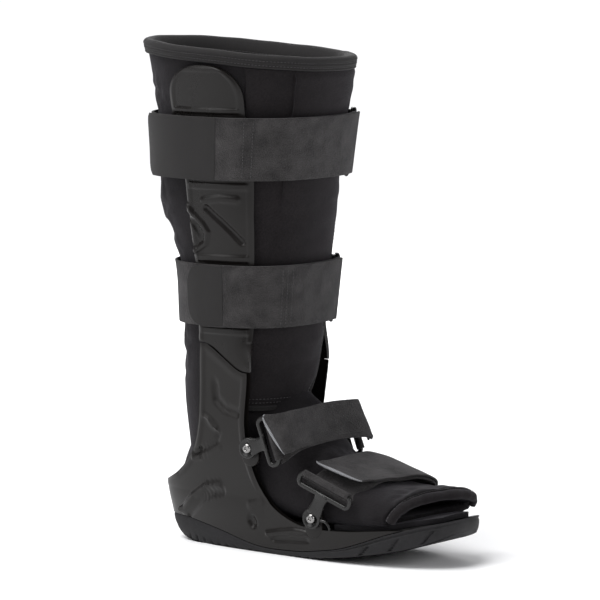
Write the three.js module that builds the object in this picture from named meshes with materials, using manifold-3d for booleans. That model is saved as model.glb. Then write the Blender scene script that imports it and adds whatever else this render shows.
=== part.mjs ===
// Medical walking boot: a rocker outsole, a hard plastic foot shell with two uprights, and a padded liner
// that hook-and-loop straps close round the calf, the ankle and the forefoot.
// Millimetres, +Z up, floor at z = 0. The toe points along -Y, and -X is the wearer's right.
// A place is given as (side, forward, up): side is X, forward is measured toward the toe from the
// uprights' centre line, and up is the height over the floor.
import * as THREE from "three";
import { mergeVertices } from "three/addons/utils/BufferGeometryUtils.js";
import Module from "manifold-3d";

const wasm = await Module();
wasm.setup();

// Liner
const RIM_HEIGHT = 427; // floor to the liner's upper edge, at the leg's axis
const RIM_FALL = 13; // the shin side of the rim is this much lower than the calf side
const RIM_HALF_WIDTH = 78;
const RIM_HALF_DEPTH = 87;
const LEG_SETBACK = 16; // the leg's axis behind the uprights' centre line
const LEG_POWER = 2.3; // superellipse power of the leg's sections
const LINER_WALL = 8;
const LINER_SOLE = 5; // the padded sole runs on beyond the toe opening
const LINER_HEEL_UP = 55; // the leg's tube meets the foot here
const BINDING_DROP = 8; // how far the rim tape comes down
const BINDING_THICKNESS = 1.6;
const FLAP_THICKNESS = 4;
const FLAP_FOOT = 123; // height of the shin flap's lower edge
const FLAP_CORNER = 16; // radius of its free lower corner
const FLAP_HIDDEN_EDGE = 48; // its other edge lies here round the leg, behind the right upright, in degrees
const FOOT_POWER = 2.5;
const FOOT_BED_SHARE = 0.3; // a foot section is widest at this share of its height
const TOE_ROLL = 4.2; // radius of the rolled edge of the toe opening

// Sole and shell
const HEEL_REACH = 86; // the sole's heel end behind the uprights' centre line
const TOE_REACH = 212; // the sole's toe end ahead of it
const BALL_HALF_WIDTH = 54;
const HEEL_POWER = 4; // how square the heel end is in plan
const TOE_POWER = 3;
const SHELL_WALL = 4.4;
const FLOOR_THICKNESS = 2.6;
const CUP_HEIGHT = 50; // top of the heel cup at the back
const CUP_FLARE = 6; // the cup leans back this much toward its top
const RIM_LIP = 1.6; // width of the outsole's lip around the toe
const LIP_START = 90; // where that lip begins
const TOE_WALL_END = 181; // the shell's side walls end here, and only its floor runs on
const SOLE_CORE = 4; // tread thickness under the shell inside the lip
const SOLE_TOP = 41; // height of the outsole's toe end
const BED_HEIGHT = 26; // height of the foot bed under the arch
const INSOLE_LEAST = 1.8; // the foot bed's foam is nowhere thinner

// Uprights
const UPRIGHT_WIDTH = 52;
const UPRIGHT_THICKNESS = 3.8;
const UPRIGHT_TOP = 416;
const PADDLE_WIDTH = 76;
const SEAM_REAR = 178; // height of the joint between base and upper upright, at the rear edge
const SEAM_FRONT = 155;
const UPRIGHT_CUP = 0.6; // share of the leg's roundness that an upright follows
const PADDLE_CUP = 0.92; // and that its paddle follows

// Straps and hardware
const CALF_STRAP_WIDTH = 53;
const STRAP_THICKNESS = 2.2;
const UPPER_STRAP_HEIGHT = 346; // middle of the upper calf strap
const LOWER_STRAP_HEIGHT = 220;
const BAND_FRONT_POWER = 3; // the straps bridge from the uprights to the shin
const RING_WIRE = 3.4;
const RING_OPENING = 8;
const RING_ANGLE = -44; // the rings lie here round the leg, in degrees
const ANKLE_STRAP_WIDTH = 36;
const FOREFOOT_STRAP_WIDTH = 50;
const LOOP_THICKNESS = 3;
const LOOP_BAR = 4; // width of the frame round a loop's slot
const LOOP_SLOT = 6;
const LUG_RADIUS = 9;
const RIVET_HEAD = 4.2;
const RIVET_SHANK = 2;
const RIVET_DOME = 2;
const GAP = 0.4; // clearance between neighbouring pieces
const EASE = 0.9; // clearance round the liner's soft faces

// Leg sections, from ankle to rim: height as a share of RIM_HEIGHT, half width of RIM_HALF_WIDTH,
// half depth of RIM_HALF_DEPTH and the axis' setback of LEG_SETBACK.
const LEG_SECTIONS = [
  { up: 0.108, width: 0.51, depth: 0.5, back: 1.3 },
  { up: 0.207, width: 0.635, depth: 0.54, back: 1.06 },
  { up: 0.27, width: 0.667, depth: 0.58, back: 1.06 },
  { up: 0.336, width: 0.68, depth: 0.605, back: 1.06 },
  { up: 0.405, width: 0.705, depth: 0.632, back: 0.94 },
  { up: 0.587, width: 0.782, depth: 0.72, back: 0.88 },
  { up: 0.685, width: 0.846, depth: 0.812, back: 1.12 },
  { up: 0.8, width: 0.89, depth: 0.86, back: 1 },
  { up: 0.87, width: 0.915, depth: 0.9, back: 0.95 },
  { up: 0.94, width: 0.96, depth: 0.955, back: 0.95 },
  { up: 1, width: 1, depth: 1, back: 1 },
];

// Foot sections, from heel to toe: place along the sole as a share of its length, half width as a share
// of BALL_HALF_WIDTH, and the height of the liner's top over the foot bed as a share of RIM_HEIGHT.
const FOOT_SECTIONS = [
  { along: 0.02, width: 0.3, top: 0.09 },
  { along: 0.06, width: 0.52, top: 0.14 },
  { along: 0.13, width: 0.64, top: 0.21 },
  { along: 0.26, width: 0.7, top: 0.255 },
  { along: 0.37, width: 0.76, top: 0.262 },
  { along: 0.43, width: 0.78, top: 0.248 },
  { along: 0.47, width: 0.79, top: 0.225 },
  { along: 0.5, width: 0.8, top: 0.19 },
  { along: 0.53, width: 0.81, top: 0.162 },
  { along: 0.565, width: 0.83, top: 0.138 },
  { along: 0.62, width: 0.87, top: 0.118 },
  { along: 0.69, width: 0.91, top: 0.099 },
  { along: 0.775, width: 0.93, top: 0.08 },
  { along: 0.9, width: 0.9, top: 0.066 },
  { along: 0.95, width: 0.87, top: 0.062 },
];

// Sole outline in plan: half width as a share of BALL_HALF_WIDTH.
const SOLE_PLAN = [
  { along: 0, width: 0.72 },
  { along: 0.16, width: 0.72 },
  { along: 0.29, width: 0.8 },
  { along: 0.49, width: 0.89 },
  { along: 0.66, width: 0.98 },
  { along: 0.8, width: 1 },
  { along: 1, width: 0.97 },
];

// Sole from the side: heights of its ground line and upper edge as shares of SOLE_TOP, and of the foot bed
// as a share of BED_HEIGHT.
const SOLE_SIDE = [
  { along: 0, ground: 0.46, edge: 0.54, bed: 1.03 },
  { along: 0.02, ground: 0.22, edge: 0.53, bed: 1.02 },
  { along: 0.06, ground: 0.04, edge: 0.52, bed: 1.0 },
  { along: 0.1, ground: 0, edge: 0.52, bed: 1.0 },
  { along: 0.23, ground: 0, edge: 0.35, bed: 1.0 },
  { along: 0.385, ground: 0, edge: 0.12, bed: 1.0 },
  { along: 0.53, ground: 0, edge: 0.125, bed: 1.0 },
  { along: 0.61, ground: 0.04, edge: 0.2, bed: 1.0 },
  { along: 0.685, ground: 0.11, edge: 0.3, bed: 1.02 },
  { along: 0.75, ground: 0.18, edge: 0.45, bed: 1.06 },
  { along: 0.825, ground: 0.28, edge: 0.65, bed: 1.17 },
  { along: 0.9, ground: 0.41, edge: 0.82, bed: 1.34 },
  { along: 0.97, ground: 0.6, edge: 0.95, bed: 1.47 },
  { along: 1, ground: 0.74, edge: 1, bed: 1.52 },
];

// Upper edge of the base shell behind and in front of the upright. Forward is a share of UPRIGHT_WIDTH
// from its centre line, up a share of SEAM_REAR.
const SHELL_REAR_EDGE = [
  { forward: -0.48, up: 0.88 },
  { forward: -0.5, up: 0.72 },
  { forward: -0.55, up: 0.6 },
  { forward: -0.66, up: 0.5 },
  { forward: -0.84, up: 0.43 },
  { forward: -1.06, up: 0.37 },
  { forward: -1.4, up: 0.31 },
];
const SHELL_FRONT_EDGE = [
  { forward: 0.47, up: 0.76 },
  { forward: 0.42, up: 0.64 },
  { forward: 0.44, up: 0.52 },
  { forward: 0.52, up: 0.39 },
  { forward: 0.62, up: 0.31 },
  { forward: 0.8, up: 0.235 },
  { forward: 1.1, up: 0.185 },
  { forward: 1.45, up: 0.155 },
  { forward: 2.05, up: 0.15 },
  { forward: 3.1, up: 0.175 },
  { forward: 3.5, up: 0.185 },
];

// Upper uprights from the joint to the paddle's top: up is a share of the way, width a share of PADDLE_WIDTH
// and forward a share of UPRIGHT_WIDTH.
const UPRIGHT_SECTIONS = [
  { up: 0, width: 0.68, forward: 0.03 },
  { up: 0.2, width: 0.68, forward: 0.05 },
  { up: 0.45, width: 0.78, forward: 0.05 },
  { up: 0.62, width: 0.84, forward: 0.03 },
  { up: 0.76, width: 0.95, forward: -0.05 },
  { up: 0.87, width: 1, forward: -0.09 },
  { up: 0.94, width: 0.9, forward: -0.09 },
  { up: 0.98, width: 0.66, forward: -0.09 },
  { up: 1, width: 0.4, forward: -0.09 },
];

// Strap loops: each turns on a rivet in the shell. Reach is the way from the rivet to the slot's middle,
// aim its direction over the horizontal and tilt the slot's own direction, in degrees.
const ANKLE_LOOP = { forward: 27, up: 91, rootForward: -8, rootUp: 0, reach: 23, slot: ANKLE_STRAP_WIDTH };
const FOREFOOT_LOOP = { forward: 90, up: 36, rootForward: 0, rootUp: -9, reach: 28, slot: FOREFOOT_STRAP_WIDTH };
const LOOPS = [
  { name: "ankle_loop_right", side: -1, aim: 19, tilt: -69, ...ANKLE_LOOP },
  { name: "ankle_loop_left", side: 1, aim: 8, tilt: -69, ...ANKLE_LOOP },
  { name: "forefoot_loop_right", side: -1, aim: 62, tilt: -20, ...FOREFOOT_LOOP },
  { name: "forefoot_loop_left", side: 1, aim: 33, tilt: -20, ...FOREFOOT_LOOP },
];

const SOLE_LENGTH = HEEL_REACH + TOE_REACH;
const RAD = THREE.MathUtils.degToRad;

const WIDE = BALL_HALF_WIDTH + RIM_HALF_WIDTH; // past every side of the boot

// Small maths

const at = (side, forward, up) => new THREE.Vector3(side, -forward, up);
const smooth = (value, low, high) => THREE.MathUtils.smoothstep(value, low, high);
const powered = (value, power) => Math.sign(value) * Math.abs(value) ** (2 / power);

// Reads one column of a table at a place between its rows, along a smooth curve through them.
function read(table, key, column, place) {
  const last = table.length - 1;
  let row = table.findIndex((entry) => entry[key] > place) - 1;
  if (row < 0) row = place >= table[last][key] ? last - 1 : 0;
  const slope = (index) => {
    const below = table[Math.max(index - 1, 0)];
    const above = table[Math.min(index + 1, last)];
    return (above[column] - below[column]) / (above[key] - below[key]);
  };
  const start = table[row];
  const end = table[row + 1];
  const span = end[key] - start[key];
  const part = THREE.MathUtils.clamp((place - start[key]) / span, 0, 1);
  const square = part * part;
  const cube = square * part;
  return (
    (2 * cube - 3 * square + 1) * start[column] +
    (cube - 2 * square + part) * span * slope(row) +
    (3 * square - 2 * cube) * end[column] +
    (cube - square) * span * slope(row + 1)
  );
}

// Solids

function toSolid(geometry) {
  const bare = geometry.clone();
  bare.deleteAttribute("normal");
  bare.deleteAttribute("uv");
  const merged = mergeVertices(bare, 1e-3);
  const build = (triVerts) =>
    new wasm.Manifold(
      new wasm.Mesh({ numProp: 3, vertProperties: merged.attributes.position.array, triVerts }),
    );
  const corners = new Uint32Array(merged.index.array);
  const solid = build(corners);
  return solid.volume() < 0 ? build(corners.reverse()) : solid;
}

function toGeometry(solid) {
  const mesh = solid.getMesh();
  const geometry = new THREE.BufferGeometry();
  geometry.setAttribute("position", new THREE.BufferAttribute(new Float32Array(mesh.vertProperties), 3));
  geometry.setIndex(new THREE.BufferAttribute(new Uint32Array(mesh.triVerts), 1));
  return geometry;
}

function moved(geometry, place) {
  const spots = geometry.attributes.position;
  for (let index = 0; index < spots.count; index += 1) {
    const spot = place(spots.getX(index), spots.getY(index), spots.getZ(index));
    spots.setXYZ(index, spot.x, spot.y, spot.z);
  }
  return geometry;
}

// A sheet that is bent into place: across and along run from 0 to 1 and out from 0 to 1.
function bentSheet(across, along, place) {
  const block = new THREE.BoxGeometry(1, 1, 1, across, along, 1);
  return toSolid(moved(block, (x, y, z) => place(x + 0.5, y + 0.5, z + 0.5)));
}

// A ring with the section given as (out, along) corners, placed by angle, along and out.
function bentRing(section, segments, place) {
  const hub = WIDE;
  const corners = section.map(([out, along]) => new THREE.Vector2(hub + out, along));
  corners.push(corners[0].clone());
  const ring = new THREE.LatheGeometry(corners, segments);
  return toSolid(moved(ring, (x, y, z) => place(Math.atan2(x, z), y, Math.hypot(x, z) - hub)));
}

// A full body of sections from 0 to 1 along, closed at both ends.
function bentBody(segments, rows, place) {
  const body = new THREE.CylinderGeometry(1, 1, 1, segments, rows);
  return toSolid(
    moved(body, (x, y, z) => place(Math.atan2(x, z), y + 0.5, Math.min(1, Math.hypot(x, z)))),
  );
}

// A plate drawn in the forward and up plane, from one side place to another.
function sidePlate(shape, sideFrom, sideTo) {
  const plate = new THREE.ExtrudeGeometry(shape, {
    depth: sideTo - sideFrom,
    bevelEnabled: false,
    curveSegments: 4,
  });
  return toSolid(moved(plate, (x, y, z) => at(sideFrom + z, x, y)));
}

// A block drawn in plan, from one height to another.
function planBlock(shape, upFrom, upTo) {
  const block = new THREE.ExtrudeGeometry(shape, { depth: upTo - upFrom, bevelEnabled: false, curveSegments: 6 });
  return toSolid(moved(block, (x, y, z) => at(x, y, upFrom + z)));
}

function peg(radius, sideFrom, sideTo, forward, up) {
  const shape = new THREE.Shape().absarc(forward, up, radius, 0, 2 * Math.PI);
  return sidePlate(shape, sideFrom, sideTo);
}

// Leg surface

const legAt = (column, up) => read(LEG_SECTIONS, "up", column, up / RIM_HEIGHT);
const legHalfWidth = (up) => RIM_HALF_WIDTH * legAt("width", up);
const legHalfDepth = (up) => RIM_HALF_DEPTH * legAt("depth", up);
const legAxis = (up) => -LEG_SETBACK * legAt("back", up);

// Angle 0 faces the toe and 90 degrees the wearer's right.
function onLeg(angle, up, out) {
  const side = -(legHalfWidth(up) + out) * powered(Math.sin(angle), LEG_POWER);
  const forward = legAxis(up) + (legHalfDepth(up) + out) * powered(Math.cos(angle), LEG_POWER);
  const fall = (RIM_FALL / 2) * Math.cos(angle) * smooth(up, 0.7 * RIM_HEIGHT, RIM_HEIGHT);
  return at(side, forward, up - fall);
}

// The face that an upright's inner side follows: flatter than the leg itself.
function uprightSide(forward, up) {
  const share = Math.min(1, Math.abs(forward - legAxis(up)) / legHalfDepth(up));
  const round = (1 - share ** LEG_POWER) ** (1 / LEG_POWER);
  const paddle = smooth(up, 0.68 * UPRIGHT_TOP, 0.78 * UPRIGHT_TOP);
  const cup = THREE.MathUtils.lerp(UPRIGHT_CUP * smooth(up, SEAM_FRONT, 1.15 * SEAM_REAR), PADDLE_CUP, paddle);
  return legHalfWidth(up) * (1 - cup * (1 - round)) + EASE;
}

// Straps lie over the uprights at the sides, over the shin flap in front and on the liner at the back.
function onBand(angle, up, out) {
  const lift = UPRIGHT_THICKNESS + 2 * EASE + out;
  const front = Math.cos(angle) > 0;
  const power = front ? BAND_FRONT_POWER : LEG_POWER;
  const reach = front ? FLAP_THICKNESS + 2 * EASE : EASE;
  const side = -(legHalfWidth(up) + lift) * powered(Math.sin(angle), power);
  const depth = (legHalfDepth(up) + reach + out) * powered(Math.cos(angle), power);
  return at(side, legAxis(up) + depth, up);
}

// Sole surface

const soleShare = (forward) => (forward + HEEL_REACH) / SOLE_LENGTH;
const soleAt = (column, forward) => SOLE_TOP * read(SOLE_SIDE, "along", column, soleShare(forward));
const groundLine = (forward) => soleAt("ground", forward);
const edgeLine = (forward) => soleAt("edge", forward);

// Where the shell's underside lies on the tread: level with the sole's edge behind, and let in behind
// the lip in front.
function underLine(forward) {
  const core = Math.min(edgeLine(forward), groundLine(forward) + SOLE_CORE);
  return THREE.MathUtils.lerp(edgeLine(forward), core, smooth(forward, LIP_START, 1.3 * LIP_START));
}

// Top of the shell's floor, inside its walls, and top of the foam bed on it.
const shellFloor = (forward) => underLine(forward) + GAP + FLOOR_THICKNESS;
const bedLine = (forward) =>
  Math.max(BED_HEIGHT * read(SOLE_SIDE, "along", "bed", soleShare(forward)), shellFloor(forward) + GAP + INSOLE_LEAST);
const planHalfWidth = (forward) =>
  BALL_HALF_WIDTH * read(SOLE_PLAN, "along", "width", soleShare(forward));

// Half the width over the shell's walls: the sole's plan below, and round the ankle the leg's own width.
function wallSide(forward, up) {
  const plan = planHalfWidth(forward);
  const leg = legHalfWidth(up) + 2 * EASE + SHELL_WALL;
  const ankle = 1 - smooth(forward, 0.75 * UPRIGHT_WIDTH, 1.5 * UPRIGHT_WIDTH);
  return Math.max(plan, plan + (leg - plan) * ankle * smooth(up, 0.2 * CUP_HEIGHT, CUP_HEIGHT));
}

// One corner of the shell's outline at a height: angle 0 faces the toe.
function onPlan(angle, up, inset) {
  const lean = CUP_FLARE * smooth(up, 0.35 * CUP_HEIGHT, CUP_HEIGHT);
  const heel = -HEEL_REACH - lean + inset;
  const toe = TOE_REACH - inset;
  const middle = (heel + toe) / 2;
  const cosine = Math.cos(angle);
  const forward = middle + ((toe - heel) / 2) * cosine;
  const power = cosine > 0 ? TOE_POWER : HEEL_POWER;
  const end = (1 - Math.abs(cosine) ** power) ** (1 / power);
  return { side: -(wallSide(forward, up) - inset) * end * Math.sign(Math.sin(angle)), forward };
}

function planShape(inset) {
  const steps = 48;
  const corners = [];
  for (let step = 0; step < steps; step += 1) {
    const { side, forward } = onPlan((2 * Math.PI * (step + 0.5)) / steps, 0, inset);
    corners.push(new THREE.Vector2(side, forward));
  }
  return new THREE.Shape(corners);
}

const BEYOND = TOE_REACH + HEEL_REACH;
const HIGH = () => RIM_HEIGHT;
const STATIONS = 44; // steps in which the lines along the sole are drawn

// The side view's area between two height lines, from one forward place to another.
function sideArea(low, high, from = -BEYOND, to = BEYOND) {
  const first = -HEEL_REACH - 2 * CUP_FLARE;
  const last = TOE_REACH + 2 * CUP_FLARE;
  const places = [Math.max(from, first)];
  for (let step = 0; step <= STATIONS; step += 1) {
    const forward = first + ((last - first) * step) / STATIONS;
    if (forward > from && forward < to) places.push(forward);
  }
  places.push(Math.min(to, last));
  const under = places.map((forward) => new THREE.Vector2(forward, low(forward)));
  const over = places.map((forward) => new THREE.Vector2(forward, high(forward)));
  return new THREE.Shape([...under, ...over.reverse()]);
}

function outsole() {
  const side = sidePlate(sideArea(groundLine, edgeLine, -HEEL_REACH - 1, TOE_REACH + 1), -WIDE, WIDE);
  const block = planBlock(planShape(0), -1, SOLE_TOP + 1).intersect(side);
  const pocket = planBlock(planShape(RIM_LIP), -1, SOLE_TOP + 1).intersect(
    sidePlate(sideArea(underLine, HIGH, LIP_START), -WIDE, WIDE),
  );
  return block.subtract(pocket);
}

// The shell from the side: heel cup, upright and low toe wall.
function shellOutline() {
  const spot = ({ forward, up }) => new THREE.Vector2(forward * UPRIGHT_WIDTH, up * SEAM_REAR);
  const front = SHELL_FRONT_EDGE.map(spot);
  const shape = new THREE.Shape();
  shape.moveTo(-HEEL_REACH - 2 * CUP_FLARE, CUP_HEIGHT);
  shape.splineThru(SHELL_REAR_EDGE.map(spot).reverse());
  shape.lineTo(-UPRIGHT_WIDTH * 0.45, SEAM_REAR);
  shape.lineTo(UPRIGHT_WIDTH / 2, SEAM_FRONT);
  shape.splineThru(front);
  shape.lineTo(TOE_REACH, SOLE_TOP);
  shape.lineTo(TOE_REACH, 0);
  shape.lineTo(-HEEL_REACH - 2 * CUP_FLARE, 0);
  return shape;
}

function baseShell() {
  const walls = (inset) =>
    bentBody(36, 6, (angle, along, radius) => {
      const up = along * (SEAM_REAR + 4);
      const { side, forward } = onPlan(angle, up, inset);
      return at(side * radius, forward * radius, up);
    });
  const above = (low, from) => sidePlate(sideArea(low, HIGH, from), -WIDE, WIDE);
  const lip = planBlock(planShape(-5), -1, SOLE_TOP + 5)
    .subtract(planBlock(planShape(RIM_LIP + GAP), -2, SOLE_TOP + 6))
    .intersect(sidePlate(sideArea(() => -1, (forward) => edgeLine(forward) + GAP, LIP_START - 1), -WIDE, WIDE));
  const toeRim = sidePlate(sideArea((forward) => Math.min(shellFloor(forward), SOLE_TOP), HIGH, TOE_WALL_END), -WIDE, WIDE);
  let profile = sidePlate(shellOutline(), -WIDE, WIDE).intersect(above((forward) => underLine(forward) + GAP));
  for (const { side, forward, up, rootForward, rootUp } of LOOPS) {
    profile = profile
      .add(peg(LUG_RADIUS, 0, side * WIDE, forward, up))
      .add(peg(LUG_RADIUS, 0, side * WIDE, forward + rootForward, up + rootUp));
  }
  const inside = walls(SHELL_WALL).intersect(above(shellFloor));
  let shell = walls(0).intersect(profile).subtract(inside).subtract(lip).subtract(toeRim);
  for (const { side, forward, up } of LOOPS) {
    shell = shell.subtract(peg(RIVET_SHANK + GAP, 0, side * WIDE, forward, up));
  }
  return shell;
}

// Foot bed

function insole() {
  const inset = SHELL_WALL + RIM_LIP + GAP;
  const floor = (forward) => shellFloor(forward) + GAP;
  const side = sidePlate(sideArea(floor, bedLine), -WIDE, WIDE);
  return planBlock(planShape(inset), 0, SOLE_TOP + 5).intersect(side);
}

// Liner

// Angle 0 is the wearer's right at the bed, 90 degrees the top of the foot.
function onFoot(angle, forward, out) {
  const along = soleShare(forward);
  const half = BALL_HALF_WIDTH * read(FOOT_SECTIONS, "along", "width", along) + out;
  const bed = bedLine(forward) + GAP;
  const height = RIM_HEIGHT * read(FOOT_SECTIONS, "along", "top", along);
  const waist = bed + FOOT_BED_SHARE * height;
  const sine = powered(Math.sin(angle), FOOT_POWER);
  const up = waist + sine * (sine > 0 ? (1 - FOOT_BED_SHARE) * height + out : FOOT_BED_SHARE * height + out);
  return at(-half * powered(Math.cos(angle), FOOT_POWER), forward, up);
}

// The toe opening slants: its plane runs through a place near the bed on the right, one on top and one
// near the bed on the left.
const TOE_RIGHT = at(-0.9 * BALL_HALF_WIDTH, TOE_REACH - 56, 31);
const TOE_TOP = at(0, TOE_REACH - 27, 65);
const TOE_LEFT = at(0.83 * BALL_HALF_WIDTH, TOE_REACH - 22, 38);

function toePlane() {
  const plane = new THREE.Plane().setFromCoplanarPoints(TOE_RIGHT, TOE_TOP, TOE_LEFT);
  return plane.normal.y > 0 ? plane.negate() : plane;
}

function beyondToe() {
  const plane = toePlane();
  const size = 2 * WIDE;
  const block = new THREE.BoxGeometry(size, size, size);
  block.translate(0, 0, size / 2);
  const turn = new THREE.Quaternion().setFromUnitVectors(new THREE.Vector3(0, 0, 1), plane.normal);
  block.applyQuaternion(turn);
  block.translate(TOE_TOP.x, TOE_TOP.y, TOE_TOP.z);
  return toSolid(block);
}

// All tubes of the leg share their angles and heights, so that one lies evenly inside another.
function legTube(out, from, to) {
  const rows = 9;
  return bentBody(28, rows, (angle, along, radius) => {
    const row = Math.round(along * rows);
    const between = THREE.MathUtils.lerp(LINER_HEEL_UP, RIM_HEIGHT, along);
    const up = row === 0 ? from : row === rows ? to : between;
    const rim = onLeg(angle, up, out);
    const axis = at(0, legAxis(up), up);
    return axis.lerp(rim, radius);
  });
}

function footTube(out, from, to) {
  return bentBody(20, 14, (angle, along, radius) => {
    const forward = from + along * (to - from);
    const rim = onFoot(angle, forward, out);
    const middle = at(0, forward, bedLine(forward) + GAP + LINER_WALL);
    return middle.lerp(rim, radius);
  });
}

// The liner's outer form, and what keeps other pieces clear of it.
const linerForm = (out) =>
  legTube(out, LINER_HEEL_UP, RIM_HEIGHT - GAP).add(footTube(out, -0.93 * HEEL_REACH, TOE_REACH));

function liner() {
  const inner = legTube(-LINER_WALL, LINER_HEEL_UP + LINER_WALL, RIM_HEIGHT + WIDE / 4).add(
    footTube(-LINER_WALL, LINER_WALL - 0.93 * HEEL_REACH, TOE_REACH + WIDE / 4),
  );
  const lining = sideArea(
    (forward) => bedLine(forward) + GAP,
    (forward) => bedLine(forward) + GAP + LINER_SOLE,
    0.5 * TOE_REACH,
    TOE_REACH - 12,
  );
  const sole = planBlock(planShape(SHELL_WALL + RIM_LIP + 2 * GAP), 0, 2 * SOLE_TOP).intersect(
    sidePlate(lining, -WIDE, WIDE),
  );
  return linerForm(0).subtract(inner).subtract(beyondToe()).add(sole);
}

// A tape folded over the liner's upper edge.
function rimBinding() {
  const low = RIM_HEIGHT - BINDING_DROP;
  const outer = GAP + BINDING_THICKNESS;
  const inner = -LINER_WALL - outer;
  const section = [
    [outer, low],
    [outer, RIM_HEIGHT + BINDING_THICKNESS],
    [inner, RIM_HEIGHT + BINDING_THICKNESS],
    [inner, low],
  ];
  const tape = bentRing(section, 28, (angle, up, out) => onLeg(angle, up, out));
  const wall = legTube(GAP, LINER_HEEL_UP, RIM_HEIGHT).subtract(
    legTube(-LINER_WALL - GAP, LINER_HEEL_UP, RIM_HEIGHT + WIDE / 4),
  );
  return tape.subtract(wall);
}

// The right half of the liner wraps over the shin and ends in a free edge on the left.
function shinFlap() {
  const top = RIM_HEIGHT - BINDING_DROP - GAP;
  return bentSheet(12, 8, (across, along, out) => {
    const up = FLAP_FOOT + along * (top - FLAP_FOOT);
    const corner = FLAP_CORNER * (1 - smooth(up, FLAP_FOOT, FLAP_FOOT + 2 * FLAP_CORNER)) ** 2;
    const free = -35 - 20 * smooth(along, 0.2, 1) + corner;
    const angle = RAD(free + across * (FLAP_HIDDEN_EDGE - free));
    return onLeg(angle, up, EASE + out * FLAP_THICKNESS);
  });
}

// The rolled edge of the toe opening, from the bed on the right over the toes to the bed on the left.
function toeRoll() {
  const plane = toePlane();
  return bentBody(8, 20, (turn, along, radius) => {
    const angle = along * Math.PI;
    let forward = -TOE_TOP.y;
    for (let step = 0; step < 12; step += 1) {
      const spot = onFoot(angle, forward, -LINER_WALL / 2);
      forward += plane.distanceToPoint(spot) / plane.normal.y;
    }
    const out = TOE_ROLL * radius * Math.cos(turn);
    const ahead = TOE_ROLL * radius * Math.sin(turn);
    return onFoot(angle, forward, out - LINER_WALL / 2).addScaledVector(plane.normal, TOE_ROLL + GAP + ahead);
  });
}

// Uprights

function upperUpright(side) {
  const plate = bentSheet(4, 12, (across, along, out) => {
    const share = read(UPRIGHT_SECTIONS, "up", "width", along);
    const middle = UPRIGHT_WIDTH * read(UPRIGHT_SECTIONS, "up", "forward", along);
    const forward = middle + (across - 0.5) * PADDLE_WIDTH * share;
    const seam = SEAM_REAR + (SEAM_FRONT - SEAM_REAR) * across + 2 * GAP;
    const up = seam + along * (UPRIGHT_TOP - seam);
    return at(side * (uprightSide(forward, up) + out * UPRIGHT_THICKNESS), forward, up);
  });
  return plate;
}

// Calf straps

const BAND_STEPS = 36;
const RING_WIDTH = RING_OPENING + 2 * RING_WIRE;
const RING_SEAT = STRAP_THICKNESS - RING_WIRE / 2; // how far the ring's inner face lies out from the band's

// Half the angle that a ring takes of the band's way round, so that the band's ends meet its bars.
function ringHalfAngle(height) {
  const centre = RAD(RING_ANGLE);
  let half = RING_WIDTH / 2 / legHalfDepth(height);
  for (let round = 0; round < 8; round += 1) {
    const chord = onBand(centre + half, height, RING_SEAT).distanceTo(onBand(centre - half, height, RING_SEAT));
    half *= (RING_WIDTH + 2 * EASE) / chord;
  }
  return half;
}

// The angles at which the bands' and straps' corners lie.
const bandStart = (height) => RAD(RING_ANGLE) + ringHalfAngle(height);
const bandStep = (height) => (2 * Math.PI - 2 * ringHalfAngle(height)) / BAND_STEPS;

function calfBand(height) {
  const start = bandStart(height);
  const step = bandStep(height);
  return bentSheet(BAND_STEPS, 1, (across, along, out) => {
    const up = height + (along - 0.5) * CALF_STRAP_WIDTH;
    return onBand(start + across * BAND_STEPS * step, up, out * STRAP_THICKNESS);
  });
}

// The strap's free run comes back from the ring over the shin and ends in a rounded tab.
function calfReturn(height, tab) {
  const start = bandStart(height);
  const step = bandStep(height);
  const steps = Math.round((RAD(tab) - start) / step);
  const tabSteps = 4;
  const root = start + (steps - tabSteps) * step;
  return bentSheet(steps, 4, (across, along, out) => {
    const round = (CALF_STRAP_WIDTH / 2) * (1 - Math.sqrt(1 - (0.95 * (2 * along - 1)) ** 4));
    const end = RAD(tab) - round / legHalfDepth(height);
    const past = Math.max(0, across * steps - (steps - tabSteps)) / tabSteps;
    const angle = past > 0 ? THREE.MathUtils.lerp(root, end, past) : start + across * steps * step;
    const up = height + (along - 0.5) * CALF_STRAP_WIDTH;
    return onBand(angle, up, STRAP_THICKNESS + GAP + EASE * past + out * STRAP_THICKNESS);
  });
}

// The ring lies flat across the gap between the band's ends.
function calfRing(height) {
  const long = CALF_STRAP_WIDTH + 2 * GAP + 2 * RING_WIRE;
  const frame = frameShape(long, RING_WIDTH, RING_WIRE);
  const ring = new THREE.ExtrudeGeometry(frame, { depth: RING_WIRE, bevelEnabled: false, curveSegments: 2 });
  const half = ringHalfAngle(height);
  const bandEnd = (turn, up) => onBand(RAD(RING_ANGLE) + turn, up, RING_SEAT);
  const middle = (up) => bandEnd(half, up).add(bandEnd(-half, up)).multiplyScalar(0.5);
  const top = middle(height + CALF_STRAP_WIDTH / 2);
  const bottom = middle(height - CALF_STRAP_WIDTH / 2);
  const seat = top.clone().add(bottom).multiplyScalar(0.5);
  const upward = top.sub(bottom).normalize();
  const outward = upward.clone().cross(bandEnd(half, height).sub(bandEnd(-half, height))).normalize();
  const along = outward.clone().cross(upward);
  ring.applyMatrix4(new THREE.Matrix4().makeBasis(upward, along, outward).setPosition(seat));
  return toSolid(ring);
}

// A rounded frame with a slot through it, long along X.
function frameShape(long, wide, bar) {
  const frame = roundedBox(long, wide, Math.min(bar, wide / 2));
  frame.holes.push(roundedBox(long - 2 * bar, wide - 2 * bar, bar / 3));
  return frame;
}

function roundedBox(long, wide, radius) {
  const shape = new THREE.Shape();
  const x = long / 2 - radius;
  const y = wide / 2 - radius;
  shape.absarc(x, y, radius, 0, Math.PI / 2);
  shape.absarc(-x, y, radius, Math.PI / 2, Math.PI);
  shape.absarc(-x, -y, radius, Math.PI, 1.5 * Math.PI);
  shape.absarc(x, -y, radius, 1.5 * Math.PI, 2 * Math.PI);
  return shape;
}

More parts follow.
